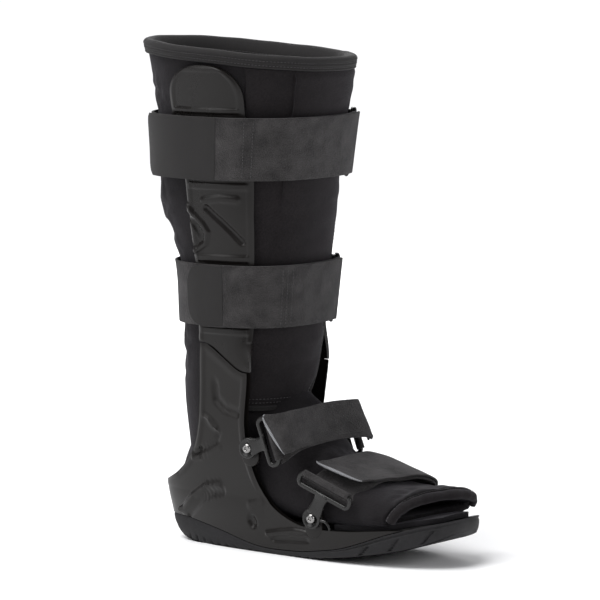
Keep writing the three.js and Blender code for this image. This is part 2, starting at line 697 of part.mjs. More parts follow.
// Ankle and forefoot straps: a ribbon between a rear and a front edge. Side is a share of the loops' own
// side place, forward a share of TOE_REACH and up a share of RIM_HEIGHT.
const ANKLE_FRONT = [
  { side: -0.43, rear: 0.297, rearUp: 0.293, front: 0.35, frontUp: 0.22 },
  { side: 0, rear: 0.3, rearUp: 0.296, front: 0.354, frontUp: 0.223 },
  { side: 0.43, rear: 0.312, rearUp: 0.295, front: 0.375, frontUp: 0.223 },
  { side: 0.73, rear: 0.314, rearUp: 0.292, front: 0.39, frontUp: 0.22 },
  { side: 0.97, rear: 0.272, rearUp: 0.281, front: 0.345, frontUp: 0.208 },
];
const ANKLE_UNDER = [
  { side: -0.97, rear: 0.212, rearUp: 0.277, front: 0.283, frontUp: 0.187 },
  { side: -0.78, rear: 0.275, rearUp: 0.285, front: 0.335, frontUp: 0.212 },
  ...ANKLE_FRONT,
];
const ANKLE_OVER = [
  { side: -1.12, rear: 0.208, rearUp: 0.286, front: 0.325, frontUp: 0.211 },
  { side: -1.09, rear: 0.28, rearUp: 0.289, front: 0.35, frontUp: 0.215 },
  { side: -0.8, rear: 0.297, rearUp: 0.292, front: 0.355, frontUp: 0.221 },
  ...ANKLE_FRONT,
];
const FOREFOOT_FRONT = [
  { side: -0.4, rear: 0.43, rearUp: 0.192, front: 0.65, frontUp: 0.159 },
  { side: 0, rear: 0.444, rearUp: 0.196, front: 0.684, frontUp: 0.16 },
  { side: 0.4, rear: 0.467, rearUp: 0.194, front: 0.717, frontUp: 0.159 },
  { side: 0.78, rear: 0.519, rearUp: 0.175, front: 0.717, frontUp: 0.144 },
  { side: 0.97, rear: 0.49, rearUp: 0.145, front: 0.684, frontUp: 0.119 },
];
const FOREFOOT_UNDER = [
  { side: -0.97, rear: 0.375, rearUp: 0.152, front: 0.585, frontUp: 0.115 },
  { side: -0.78, rear: 0.4, rearUp: 0.168, front: 0.61, frontUp: 0.134 },
  ...FOREFOOT_FRONT,
];
const FOREFOOT_OVER = [
  { side: -0.83, rear: 0.396, rearUp: 0.19, front: 0.618, frontUp: 0.16 },
  { side: -0.62, rear: 0.412, rearUp: 0.19, front: 0.63, frontUp: 0.16 },
  ...FOREFOOT_FRONT,
];

function footStrap(rows, face, lift) {
  const edge = (column) =>
    new THREE.CatmullRomCurve3(
      rows.map((row) => at(row.side * face, row[column] * TOE_REACH, row[column + "Up"] * RIM_HEIGHT)),
    );
  const rear = edge("rear");
  const front = edge("front");
  const onRibbon = (across, along) => rear.getPoint(across).lerp(front.getPoint(across), along);
  const step = 0.01;
  return bentSheet(12, 1, (across, along, out) => {
    const next = onRibbon(Math.min(across + step, 1), along);
    const last = onRibbon(Math.max(across - step, 0), along);
    const width = front.getPoint(across).sub(rear.getPoint(across));
    const outward = width.cross(next.sub(last)).normalize();
    return onRibbon(across, along).addScaledVector(outward, lift + out * STRAP_THICKNESS);
  });
}

// Loops and rivets

const loopFace = (loop) => wallSide(loop.forward + LUG_RADIUS, loop.up + LUG_RADIUS) + GAP;

function strapLoop(loop) {
  const { side, forward, up, reach, slot } = loop;
  const aim = RAD(loop.aim);
  const middle = new THREE.Vector2(forward + reach * Math.cos(aim), up + reach * Math.sin(aim));
  const face = loopFace(loop);
  const plate = (shape) => sidePlate(shape, side * face, side * (face + LOOP_THICKNESS));
  const turned = (points) =>
    new THREE.Shape(
      points.getPoints(2).map((spot) => spot.clone().rotateAround(new THREE.Vector2(), RAD(loop.tilt)).add(middle)),
    );
  const long = slot + 2 * GAP + 2 * LOOP_BAR;
  const wide = LOOP_SLOT + 2 * LOOP_BAR;
  const frame = plate(turned(roundedBox(long, wide, LOOP_BAR)));
  const opening = plate(turned(roundedBox(long - 2 * LOOP_BAR, LOOP_SLOT, 1)));
  const arm = new THREE.Shape();
  const across = new THREE.Vector2(-Math.sin(aim), Math.cos(aim)).multiplyScalar(0.7 * LUG_RADIUS);
  const hinge = new THREE.Vector2(forward, up);
  arm.setFromPoints([
    hinge.clone().sub(across),
    middle.clone().sub(across),
    middle.clone().add(across),
    hinge.clone().add(across),
  ]);
  return plate(arm)
    .add(peg(LUG_RADIUS, side * face, side * (face + LOOP_THICKNESS), forward, up))
    .add(frame)
    .subtract(opening)
    .subtract(peg(RIVET_SHANK + GAP, side * (face - 1), side * (face + LOOP_THICKNESS + 1), forward, up));
}

// A domed head outside the loop with its shank through the loop and the shell.
function rivet(loop) {
  const { side, forward, up } = loop;
  const face = loopFace(loop);
  const head = face + LOOP_THICKNESS + GAP;
  const profile = [new THREE.Vector2(0, face - SHELL_WALL)];
  profile.push(new THREE.Vector2(RIVET_SHANK, face - SHELL_WALL));
  profile.push(new THREE.Vector2(RIVET_SHANK, head));
  const steps = 3;
  for (let step = 0; step <= steps; step += 1) {
    const turn = (Math.PI / 2) * (step / steps);
    profile.push(new THREE.Vector2(RIVET_HEAD * Math.cos(turn), head + RIVET_DOME * Math.sin(turn)));
  }
  profile[profile.length - 1].x = 0;
  const lathe = new THREE.LatheGeometry(profile, 10);
  return toSolid(moved(lathe, (x, y, z) => at(side * y, forward + x, up + z)));
}

// Assembly

const SIDES = [
  { name: "right", side: -1 },
  { name: "left", side: 1 },
];
const CALF_STRAPS = [
  { name: "upper", height: UPPER_STRAP_HEIGHT, tab: 138 },
  { name: "lower", height: LOWER_STRAP_HEIGHT, tab: 104 },
];
const FOOT_STRAPS = [
  { name: "ankle", under: ANKLE_UNDER, over: ANKLE_OVER, loop: ANKLE_LOOP },
  { name: "forefoot", under: FOREFOOT_UNDER, over: FOREFOOT_OVER, loop: FOREFOOT_LOOP },
];

const boot = new THREE.Group();
function addPart(name, solid, colour, roughness, metalness = 0) {
  const material = new THREE.MeshStandardMaterial({ color: colour, roughness, metalness });
  const mesh = new THREE.Mesh(toGeometry(solid), material);
  mesh.name = name;
  boot.add(mesh);
}

const padding = linerForm(GAP);

addPart("outsole", outsole(), 0x343236, 0.8);
addPart("base_shell", baseShell(), 0x302c2a, 0.42);
addPart("insole", insole(), 0x2a282a, 0.9);
addPart("liner", liner(), 0x232023, 0.95);
addPart("shin_flap", shinFlap().subtract(padding), 0x242124, 0.95);
addPart("rim_binding", rimBinding(), 0x2c2a2b, 0.85);
addPart("toe_roll", toeRoll(), 0x262326, 0.9);
for (const { name, side } of SIDES) {
  addPart("upright_" + name, upperUpright(side), 0x302c2a, 0.4);
}
for (const { name, height, tab } of CALF_STRAPS) {
  addPart(name + "_calf_band", calfBand(height).subtract(padding), 0x3a3838, 0.9);
  addPart(name + "_calf_strap", calfReturn(height, tab), 0x3c3a3a, 0.92);
  addPart(name + "_calf_ring", calfRing(height), 0x242222, 0.45);
}
for (const { name, under, over, loop } of FOOT_STRAPS) {
  const face = loopFace(loop);
  const inner = footStrap(under, face, -STRAP_THICKNESS - GAP).subtract(padding).subtract(footStrap(over, face, -GAP));
  addPart(name + "_strap_under", inner, 0x3a3838, 0.9);
  addPart(name + "_strap", footStrap(over, face, 0).subtract(padding), 0x3c3a3a, 0.92);
}
for (const loop of LOOPS) {
  addPart(loop.name, strapLoop(loop), 0x242222, 0.45);
  addPart(loop.name.replace("loop", "rivet"), rivet(loop), 0xb8b6b2, 0.3, 1);
}

export default boot;
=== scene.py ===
import math

import bmesh
import bpy
from mathutils import Matrix, Vector, noise


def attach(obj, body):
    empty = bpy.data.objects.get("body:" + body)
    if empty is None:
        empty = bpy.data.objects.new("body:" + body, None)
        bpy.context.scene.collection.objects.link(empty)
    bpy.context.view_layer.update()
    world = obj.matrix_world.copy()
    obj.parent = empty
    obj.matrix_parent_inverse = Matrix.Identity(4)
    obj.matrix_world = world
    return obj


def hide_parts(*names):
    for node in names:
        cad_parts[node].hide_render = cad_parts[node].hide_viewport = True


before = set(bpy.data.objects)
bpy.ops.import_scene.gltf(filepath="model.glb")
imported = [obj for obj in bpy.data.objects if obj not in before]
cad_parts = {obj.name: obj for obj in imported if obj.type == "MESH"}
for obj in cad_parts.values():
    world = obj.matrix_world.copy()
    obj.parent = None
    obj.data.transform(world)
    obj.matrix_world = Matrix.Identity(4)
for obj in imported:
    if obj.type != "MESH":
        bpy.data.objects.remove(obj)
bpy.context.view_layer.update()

MM = 0.001

# The boot's own sizes, in millimetres. Side is X, forward points at the toe, up is the height over the floor.
RIM_HEIGHT = 427
RIM_FALL = 13
RIM_HALF_WIDTH = 78
RIM_HALF_DEPTH = 87
LEG_SETBACK = 16
LEG_POWER = 2.3
LINER_WALL = 8
FLAP_THICKNESS = 4
FOOT_POWER = 2.5
FOOT_BED_SHARE = 0.3
HEEL_REACH = 86
TOE_REACH = 212
SOLE_LENGTH = HEEL_REACH + TOE_REACH
BALL_HALF_WIDTH = 54
SHELL_WALL = 4.4
CUP_HEIGHT = 50
CUP_FLARE = 2
LIP_START = 90
SOLE_CORE = 4
SOLE_TOP = 41
BED_HEIGHT = 26
UPRIGHT_WIDTH = 52
UPRIGHT_THICKNESS = 3.8
UPRIGHT_TOP = 416
UPRIGHT_CUP = 0.73  # share of the leg's roundness that an upright follows
PADDLE_CUP = 0.92
PADDLE_WIDTH = 76
SEAM_REAR = 178
SEAM_FRONT = 155
STRAP_WIDTH = 53
STRAP_THICKNESS = 2.2
RING_WIRE = 3.4
RING_WIDTH = 14.8
RING_ANGLE = -44
EASE = 0.9
GAP = 0.4
FRONT_POWER = 2.7  # how squarely the straps bridge from the uprights to the shin

LEG_SECTIONS = [  # share of the rim's height, half width, half depth, setback
    (0.108, 0.51, 0.5, 1.3), (0.207, 0.635, 0.54, 1.06), (0.27, 0.667, 0.58, 1.06),
    (0.336, 0.68, 0.605, 1.06), (0.405, 0.705, 0.617, 0.86), (0.455, 0.725, 0.63, 0.77), (0.575, 0.777,
        0.679, 0.71),
    (0.685, 0.846, 0.812, 1.12), (0.8, 0.89, 0.86, 1.0), (0.87, 0.915, 0.9, 0.95),
    (0.94, 0.96, 0.955, 0.95), (1.0, 1.0, 1.0, 1.0),
]
FOOT_SECTIONS = [  # share of the sole's length, half width, height over the foot bed
    (0.02, 0.26, 0.09), (0.06, 0.45, 0.14), (0.13, 0.6, 0.21), (0.26, 0.7, 0.255), (0.37, 0.76, 0.262),
    (0.43, 0.78, 0.248), (0.47, 0.79, 0.225), (0.5, 0.8, 0.19), (0.53, 0.81, 0.162), (0.565, 0.83, 0.138),
    (0.62, 0.87, 0.118), (0.69, 0.91, 0.099), (0.775, 0.93, 0.08), (0.9, 0.9, 0.066), (0.95, 0.87, 0.062),
]
SOLE_PLAN = [(0, 0.63), (0.07, 0.67), (0.16, 0.72), (0.29, 0.8), (0.49, 0.89), (0.66, 0.98), (0.8, 1.0), (1,
    0.97)]
SOLE_SIDE = [  # share of the sole's length, ground line, upper edge, foot bed
    (0, 0.49, 0.54, 1.03), (0.02, 0.32, 0.53, 1.02), (0.06, 0.13, 0.52, 1.0), (0.1, 0.03, 0.51, 1.0),
    (0.14, 0, 0.47, 1.0),
    (0.23, 0, 0.35, 1.0), (0.385, 0, 0.12, 1.0), (0.53, 0, 0.125, 1.0), (0.61, 0.04, 0.2, 1.0),
    (0.685, 0.11, 0.3, 1.02), (0.75, 0.18, 0.45, 1.06), (0.825, 0.28, 0.65, 1.17), (0.9, 0.41, 0.82, 1.34),
    (0.97, 0.6, 0.95, 1.47), (1, 0.74, 1, 1.52),
]
UPRIGHT_SECTIONS = [  # share of the way up, width, forward
    (0, 0.68, 0.03), (0.2, 0.68, 0.05), (0.45, 0.78, 0.05), (0.62, 0.84, 0.03), (0.76, 0.95, -0.05),
    (0.87, 1.0, -0.09), (1, 1.0, -0.09),
]


def at(side, forward, up):
    return Vector((side, -forward, up)) * MM


def clamp(value, low=0.0, high=1.0):
    return max(low, min(high, value))


def smooth(value, low, high):
    share = clamp((value - low) / (high - low))
    return share * share * (3 - 2 * share)


def mix(a, b, share):
    return a + (b - a) * share


def powered(value, power):
    return math.copysign(abs(value) ** (2 / power), value)


def read(table, column, place):
    """One column of a table at a place between its rows, along a smooth curve through them."""
    last = len(table) - 1
    row = last - 1
    for index in range(last):
        if table[index + 1][0] > place:
            row = index
            break

    def slope(index):
        below, above = table[max(index - 1, 0)], table[min(index + 1, last)]
        return (above[column] - below[column]) / (above[0] - below[0])

    start, end = table[row], table[row + 1]
    span = end[0] - start[0]
    part = clamp((place - start[0]) / span)
    square, cube = part * part, part ** 3
    return (
        (2 * cube - 3 * square + 1) * start[column] + (cube - 2 * square + part) * span * slope(row)
        + (3 * square - 2 * cube) * end[column] + (cube - square) * span * slope(row + 1)
    )


def along_points(points, share):
    """A place on the smooth line through a few points, from 0 at the first to 1 at the last."""
    last = len(points) - 1
    place = clamp(share) * last
    index = min(int(place), last - 1)
    part = place - index
    start, end = points[index], points[index + 1]
    ahead = (points[min(index + 2, last)] - start) / 2 if index + 2 <= last else end - start
    behind = (end - points[max(index - 1, 0)]) / 2 if index >= 1 else end - start
    square, cube = part * part, part ** 3
    return (
        start * (2 * cube - 3 * square + 1) + behind * (cube - 2 * square + part)
        + end * (3 * square - 2 * cube) + ahead * (cube - square)
    )


def near_stroke(forward, up, stroke):
    """Distance in the side view from a place to a stroke of (forward, up) points, and how far along it."""
    best, where = 1e9, 0.0
    for index in range(len(stroke) - 1):
        (fa, ua), (fb, ub) = stroke[index], stroke[index + 1]
        df, du = fb - fa, ub - ua
        part = clamp(((forward - fa) * df + (up - ua) * du) / (df * df + du * du))
        gap = math.hypot(forward - fa - part * df, up - ua - part * du)
        if gap < best:
            best, where = gap, (index + part) / (len(stroke) - 1)
    return best, where


# The forms of leg, foot, sole and shell

def leg_half_width(up):
    return RIM_HALF_WIDTH * read(LEG_SECTIONS, 1, up / RIM_HEIGHT)


def leg_half_depth(up):
    return RIM_HALF_DEPTH * read(LEG_SECTIONS, 2, up / RIM_HEIGHT)


def leg_axis(up):
    return -LEG_SETBACK * read(LEG_SECTIONS, 3, up / RIM_HEIGHT)


def on_leg(angle, up, out=0.0):
    """Angle 0 faces the toe and a quarter turn the wearer's right."""
    side = -(leg_half_width(up) + out) * powered(math.sin(angle), LEG_POWER)
    forward = leg_axis(up) + (leg_half_depth(up) + out) * powered(math.cos(angle), LEG_POWER)
    fall = RIM_FALL / 2 * math.cos(angle) * smooth(up, 0.7 * RIM_HEIGHT, RIM_HEIGHT)
    return at(side, forward, up - fall)


def upright_side(forward, up):
    """The side place of the face that an upright lies against."""
    share = min(1, abs(forward - leg_axis(up)) / leg_half_depth(up))
    roundness = (1 - share ** LEG_POWER) ** (1 / LEG_POWER)
    paddle = smooth(up, 0.68 * UPRIGHT_TOP, 0.78 * UPRIGHT_TOP)
    cup = mix(UPRIGHT_CUP * smooth(up, SEAM_FRONT, 1.15 * SEAM_REAR), PADDLE_CUP, paddle)
    return leg_half_width(up) * (1 - cup * (1 - roundness)) + EASE


def on_band(angle, up, out):
    """A strap's way round the leg: over the uprights, over the shin flap and on the liner behind."""
    front = math.cos(angle) > 0
    power = FRONT_POWER if front else LEG_POWER
    side = -(leg_half_width(up) + UPRIGHT_THICKNESS + 2 * EASE + out) * powered(math.sin(angle), power)
    reach = FLAP_THICKNESS + 2 * EASE if front else EASE
    depth = (leg_half_depth(up) + reach + out) * powered(math.cos(angle), power)
    return at(side, leg_axis(up) + depth, up)


def sole_share(forward):
    return (forward + HEEL_REACH) / SOLE_LENGTH


def ground_line(forward):
    return SOLE_TOP * read(SOLE_SIDE, 1, sole_share(forward))


def edge_line(forward):
    return SOLE_TOP * read(SOLE_SIDE, 2, sole_share(forward))


def under_line(forward):
    core = min(edge_line(forward), ground_line(forward) + SOLE_CORE)
    return mix(edge_line(forward), core, smooth(forward, LIP_START, 1.3 * LIP_START))


def bed_line(forward):
    floor = under_line(forward) + 2 * GAP + 2.6 + 1.8
    return max(BED_HEIGHT * read(SOLE_SIDE, 3, sole_share(forward)), floor)


def plan_half_width(forward):
    return BALL_HALF_WIDTH * read(SOLE_PLAN, 1, sole_share(forward))


def wall_side(forward, up):
    plan = plan_half_width(forward)
    leg = leg_half_width(max(up, 46)) + 2 * EASE + SHELL_WALL
    ankle = 1 - smooth(forward, 0.75 * UPRIGHT_WIDTH, 1.5 * UPRIGHT_WIDTH)
    return max(plan, plan + (leg - plan) * ankle * smooth(up, 0.2 * CUP_HEIGHT, CUP_HEIGHT))


def plan_ends(up, inset):
    lean = CUP_FLARE * smooth(up, 0.35 * CUP_HEIGHT, CUP_HEIGHT)
    heel, toe = -HEEL_REACH - lean + inset, TOE_REACH - inset
    return (heel + toe) / 2, (toe - heel) / 2


def on_plan(angle, up, inset=0.0):
    """A place on the outline in plan at a height: angle 0 faces the toe and a quarter turn the right."""
    middle, half = plan_ends(up, inset)
    cosine = math.cos(angle)
    forward = middle + half * cosine
    power = 3 if cosine > 0 else 4
    end = max(0.0, 1 - abs(cosine) ** power) ** (1 / power)
    return -(wall_side(forward, up) - inset) * end * math.copysign(1, math.sin(angle)), forward


def plan_angle(forward, up, inset=0.0):
    middle, half = plan_ends(up, inset)
    return math.acos(clamp((forward - middle) / half, -1, 1))


def on_foot(angle, forward, out=0.0):
    """Angle 0 is the wearer's right at the bed and a quarter turn the top of the foot."""
    along = sole_share(forward)
    half = BALL_HALF_WIDTH * read(FOOT_SECTIONS, 1, along) + out
    height = RIM_HEIGHT * read(FOOT_SECTIONS, 2, along)
    waist = bed_line(forward) + GAP + FOOT_BED_SHARE * height
    sine = powered(math.sin(angle), FOOT_POWER)
    up = waist + sine * ((1 - FOOT_BED_SHARE if sine > 0 else FOOT_BED_SHARE) * height + out)
    return at(-half * powered(math.cos(angle), FOOT_POWER), forward, up)


# Making pieces

def finished(name, bm, finish, thickness=0.0, bevel=0.0, divide=0, replaces=(), sharp=50, offset=-1):
    """Puts a mesh in the scene as a piece that rides on the boot."""
    mesh = bpy.data.meshes.new(name)
    bm.to_mesh(mesh)
    bm.free()
    for face in mesh.polygons:
        face.use_smooth = True
    piece = bpy.data.objects.new(name, mesh)
    bpy.context.scene.collection.objects.link(piece)
    mesh.materials.append(finish)
    if thickness:
        wall = piece.modifiers.new("wall", "SOLIDIFY")
        wall.thickness = thickness * MM
        wall.offset = offset
        wall.use_even_offset = False
    if bevel:
        edge = piece.modifiers.new("edge", "BEVEL")
        edge.width = bevel * MM
        edge.segments = 3
        edge.limit_method = "ANGLE"
        edge.angle_limit = math.radians(sharp)
        edge.harden_normals = False
        edge.loop_slide = False
    if divide:
        fine = piece.modifiers.new("fine", "SUBSURF")
        fine.levels = fine.render_levels = divide
    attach(piece, "root")
    if replaces:
        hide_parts(*replaces)
    return piece


def faced(bm, hub):
    """Turns all faces so that they point away from a place inside."""
    turned = sum((face.calc_center_median() - hub).dot(face.normal) * face.calc_area() for face in bm.faces)
    if turned < 0:
        bmesh.ops.reverse_faces(bm, faces=bm.faces)
    bm.normal_update()


def sheet(columns, rows, place, size=(1.0, 1.0), around=False, hub=None):
    """A grid of faces laid where place(across, along) says; the map is in millimetres of cloth."""
    bm = bmesh.new()
    bmesh.ops.create_grid(bm, x_segments=columns, y_segments=rows, size=0.5)
    layer = bm.loops.layers.uv.new("cloth")
    for face in bm.faces:
        for corner in face.loops:
            spot = corner.vert.co
            corner[layer].uv = ((spot.x + 0.5) * size[0], (spot.y + 0.5) * size[1])
    for vert in bm.verts:
        vert.co = place(vert.co.x + 0.5, vert.co.y + 0.5)
    if around:
        bmesh.ops.remove_doubles(bm, verts=bm.verts, dist=1e-6)
    bm.normal_update()
    centre = hub
    if centre is None:
        centre = sum((vert.co for vert in bm.verts), Vector()) / len(bm.verts)
    faced(bm, centre)
    return bm


def joined(*parts):
    """Several meshes as one, each kept as it is."""
    whole = bmesh.new()
    whole.loops.layers.uv.new("cloth")
    for part in parts:
        mesh = bpy.data.meshes.new("part")
        part.to_mesh(mesh)
        part.free()
        whole.from_mesh(mesh)
        bpy.data.meshes.remove(mesh)
    return whole


def tube(path, radius, closed=False, sides=10, flat=1.0, up_hint=Vector((0, 0, 1)), power=2.0):
    """A round cord of mesh along a list of places; flat squeezes it along the hint's direction."""
    count = len(path)
    steps = count if closed else count - 1

    def place(across, along):
        index = round(along * steps) % count if closed else round(along * steps)
        here = path[index]
        ahead = path[(index + 1) % count] if closed or index < count - 1 else here
        behind = path[index - 1] if closed or index > 0 else here
        way = (ahead - behind).normalized()
        side = way.cross(up_hint)
        if side.length < 1e-4:
            side = way.cross(Vector((0, 1, 0.2)))
        side.normalize()
        over = side.cross(way).normalized()
        turn = 2 * math.pi * across
        wide = radius if not callable(radius) else radius(index / steps)
        return here + (side * powered(math.cos(turn), power) + over * powered(math.sin(turn),
            power) * flat) * wide * MM

    bm = bmesh.new()
    bmesh.ops.create_grid(bm, x_segments=sides, y_segments=steps, size=0.5)
    layer = bm.loops.layers.uv.new("cloth")
    for face in bm.faces:
        for corner in face.loops:
            spot = corner.vert.co
            corner[layer].uv = ((spot.x + 0.5) * 6, (spot.y + 0.5) * steps)
    for vert in bm.verts:
        vert.co = place(vert.co.x + 0.5, vert.co.y + 0.5)
    bmesh.ops.remove_doubles(bm, verts=bm.verts, dist=1e-6)
    if not closed:
        ends = [edge for edge in bm.edges if edge.is_boundary]
        bmesh.ops.holes_fill(bm, edges=ends, sides=0)
    bmesh.ops.recalc_face_normals(bm, faces=bm.faces)
    return bm


def stitches(line, normal_at, pitch=3.0, length=2.1, width=0.42, lift=0.12):
    """A row of thread stitches along a list of places; normal_at gives the cloth's outward way there."""
    whole = bmesh.new()
    travelled, target = 0.0, pitch / 2
    for index in range(len(line) - 1):
        start, end = line[index], line[index + 1]
        step = (end - start).length / MM
        while step > 0 and travelled + step > target:
            spot = start.lerp(end, (target - travelled) / step)
            way = (end - start).normalized()
            out = normal_at(spot, index)
            side = out.cross(way).normalized()
            out = way.cross(side).normalized()
            made = bmesh.ops.create_icosphere(whole, subdivisions=1, radius=1.0)
            turn = Matrix((way * length / 2, side * width / 2, out * width / 2)).transposed() * MM
            spot = spot + out * lift * MM
            for vert in made["verts"]:
                vert.co = turn @ vert.co + spot
            target += pitch
        travelled += step
    bmesh.ops.recalc_face_normals(whole, faces=whole.faces)
    return whole


# Finishes

def node_finish(name, colour, roughness, metallic=0.0, sheen=0.0, coat=0.0, specular=0.5):
    finish = bpy.data.materials.new(name)
    finish.use_nodes = True
    shader = finish.node_tree.nodes["Principled BSDF"]
    shader.inputs["Base Color"].default_value = (*colour, 1)
    shader.inputs["Roughness"].default_value = roughness
    shader.inputs["Metallic"].default_value = metallic
    shader.inputs["Specular IOR Level"].default_value = specular
    if sheen:
        shader.inputs["Sheen Weight"].default_value = sheen
        shader.inputs["Sheen Roughness"].default_value = 0.55
    if coat:
        shader.inputs["Coat Weight"].default_value = coat
        shader.inputs["Coat Roughness"].default_value = 0.25
    return finish, finish.node_tree, shader


def add(tree, kind, values=None, **settings):
    node = tree.nodes.new(kind)
    for key, value in settings.items():
        setattr(node, key, value)
    for key, value in (values or {}).items():
        node.inputs[key].default_value = value
    return node


def spots(tree, scale, detail=2.0, roughness=0.5, stretch=None, source=None):
    """Noise in the piece's own place; scale counts per metre."""
    if source is None:
        source = add(tree, "ShaderNodeTexCoord").outputs["Object"]
    if stretch:
        turn = add(tree, "ShaderNodeMapping")
        turn.inputs["Scale"].default_value = stretch
        tree.links.new(source, turn.inputs["Vector"])
        source = turn.outputs["Vector"]
    node = add(tree, "ShaderNodeTexNoise", {"Scale": scale, "Detail": detail, "Roughness": roughness})
    tree.links.new(source, node.inputs["Vector"])
    return node.outputs["Fac"]


def ramp(tree, value, low, high, start=0.0, end=1.0):
    node = add(tree, "ShaderNodeMapRange", {"From Min": low, "From Max": high, "To Min": start,
        "To Max": end})
    tree.links.new(value, node.inputs["Value"])
    return node.outputs["Result"]


def sums(tree, how, a, b):
    node = add(tree, "ShaderNodeMath", operation=how)
    for index, value in enumerate((a, b)):
        if isinstance(value, (int, float)):
            node.inputs[index].default_value = value
        else:
            tree.links.new(value, node.inputs[index])
    return node.outputs[0]


def tinted(tree, shader, share, dark, light):
    node = add(tree, "ShaderNodeMix", data_type="RGBA")
    tree.links.new(share, node.inputs["Factor"])
    node.inputs["A"].default_value = (*dark, 1)
    node.inputs["B"].default_value = (*light, 1)
    tree.links.new(node.outputs["Result"], shader.inputs["Base Color"])


def raised(tree, shader, *layers):
    """Bump from (height, strength, distance in mm) layers."""
    normal = None
    for height, strength, distance in layers:
        node = add(tree, "ShaderNodeBump", {"Strength": strength, "Distance": distance * MM})
        tree.links.new(height, node.inputs["Height"])
        if normal:
            tree.links.new(normal, node.inputs["Normal"])
        normal = node.outputs["Normal"]
    tree.links.new(normal, shader.inputs["Normal"])


def shell_plastic(name="shell_plastic", colour=(0.0062, 0.0052, 0.0047), roughness=0.33):
    """Satin moulded plastic: fine grain, faint flow marks and rubbed places."""
    finish, tree, shader = node_finish(name, colour, roughness, specular=0.26)
    grain = spots(tree, 1700, 2.0, 0.6)
    flow = spots(tree, 26, 4.0, 0.55, (1.0, 1.0, 0.35))
    dust = spots(tree, 420, 5.0, 0.75)
    tinted(tree, shader, flow, colour, tuple(1.5 * value for value in colour))
    rubbed = sums(tree, "ADD", ramp(tree, flow, 0.3, 0.75, roughness - 0.07, roughness + 0.1), ramp(tree,
        dust, 0.45, 0.8, 0.0, 0.08))
    tree.links.new(rubbed, shader.inputs["Roughness"])
    raised(tree, shader, (grain, 0.16, 0.12), (flow, 0.1, 0.5))
    return finish


def sole_rubber():
    finish, tree, shader = node_finish("sole_rubber", (0.01, 0.0095, 0.0105), 0.62, specular=0.25)
    grain = spots(tree, 1300, 3.0, 0.7)
    cloud = spots(tree, 34, 5.0, 0.6)
    dust = spots(tree, 210, 6.0, 0.8)
    tinted(tree, shader, ramp(tree, sums(tree, "ADD", cloud, dust), 0.75, 1.35), (0.008, 0.0076, 0.0084),
        (0.019, 0.018, 0.0195))
    tree.links.new(ramp(tree, cloud, 0.3, 0.7, 0.52, 0.72), shader.inputs["Roughness"])
    raised(tree, shader, (grain, 0.3, 0.2), (dust, 0.12, 0.3))
    return finish


def liner_cloth(name="liner_cloth", dark=(0.0034, 0.0029, 0.0032), light=(0.0125, 0.0108, 0.0118)):
    """Brushed loop cloth over foam: a short nap that catches light at its edges."""
    finish, tree, shader = node_finish(name, dark, 0.93, sheen=0.09, specular=0.15)
    shader.inputs["Sheen Tint"].default_value = (0.75, 0.72, 0.8, 1)
    nap = spots(tree, 2300, 3.0, 0.75)
    tufts = spots(tree, 720, 2.0, 0.6)
    patches = spots(tree, 30, 4.0, 0.6)
    lint = spots(tree, 950, 0.0, 0.5, (1.0, 0.25, 1.0))
    share = sums(tree, "ADD", sums(tree, "MULTIPLY", patches, 0.45), sums(tree, "MULTIPLY", tufts, 0.55))
    tinted(tree, shader, ramp(tree, share, 0.3, 0.72), dark, light)
    raised(tree, shader, (nap, 0.55, 0.35), (tufts, 0.5, 0.5), (patches, 0.25, 1.5), (lint, 0.15, 0.3))
    return finish


def strap_pile(name="strap_loop_pile", dark=(0.0095, 0.0088, 0.0088), light=(0.058, 0.0545, 0.0545)):
    """Hook-and-loop strap: rows of small loops along the strap, in its own cloth map in millimetres."""
    finish, tree, shader = node_finish(name, dark, 0.9, sheen=0.12, specular=0.15)
    shader.inputs["Sheen Tint"].default_value = (0.8, 0.79, 0.82, 1)
    cloth = add(tree, "ShaderNodeUVMap", uv_map="cloth").outputs["UV"]
    loops = add(tree, "ShaderNodeTexVoronoi", {"Scale": 0.8, "Randomness": 1.0})
    tree.links.new(cloth, loops.inputs["Vector"])
    fuzz = spots(tree, 1.15, 5.0, 0.8, source=cloth)
    rows = add(tree, "ShaderNodeTexWave", {"Scale": 0.32, "Distortion": 3.0, "Detail": 2.0,
        "Detail Scale": 1.6})
    rows.bands_direction = "Y"
    tree.links.new(cloth, rows.inputs["Vector"])
    worn = spots(tree, 0.05, 4.0, 0.6, source=cloth)
    share = sums(tree, "ADD", sums(tree, "MULTIPLY", fuzz, 0.8), sums(tree, "MULTIPLY", worn, 0.5))
    tinted(tree, shader, ramp(tree, share, 0.5, 0.82), dark, light)
    raised(tree, shader, (loops.outputs["Distance"], 0.7, 0.7), (fuzz, 0.9, 0.8), (rows.outputs["Fac"], 0.18,
        0.3))
    return finish


def woven_tape(name, dark, light, across=2.4, along=2.4, roughness=0.8, deep=0.5):
    """Woven webbing or binding: warp and weft ribs in the piece's own cloth map in millimetres."""
    finish, tree, shader = node_finish(name, dark, roughness, sheen=0.06, specular=0.2)
    cloth = add(tree, "ShaderNodeUVMap", uv_map="cloth").outputs["UV"]
    ribs = []
    for direction, scale in (("X", along), ("Y", across)):
        wave = add(tree, "ShaderNodeTexWave", {"Scale": scale / 6.283, "Distortion": 0.6, "Detail": 1.0,
            "Detail Scale": 2.0})
        wave.bands_direction = direction
        tree.links.new(cloth, wave.inputs["Vector"])
        ribs.append(wave.outputs["Fac"])
    weave = sums(tree, "MULTIPLY", *ribs)
    fuzz = spots(tree, 1.4, 4.0, 0.7, source=cloth)
    share = sums(tree, "ADD", sums(tree, "MULTIPLY", weave, 0.6), sums(tree, "MULTIPLY", fuzz, 0.5))
    tinted(tree, shader, ramp(tree, share, 0.2, 0.85), dark, light)
    raised(tree, shader, (weave, deep, 0.35), (fuzz, 0.35, 0.25))
    return finish


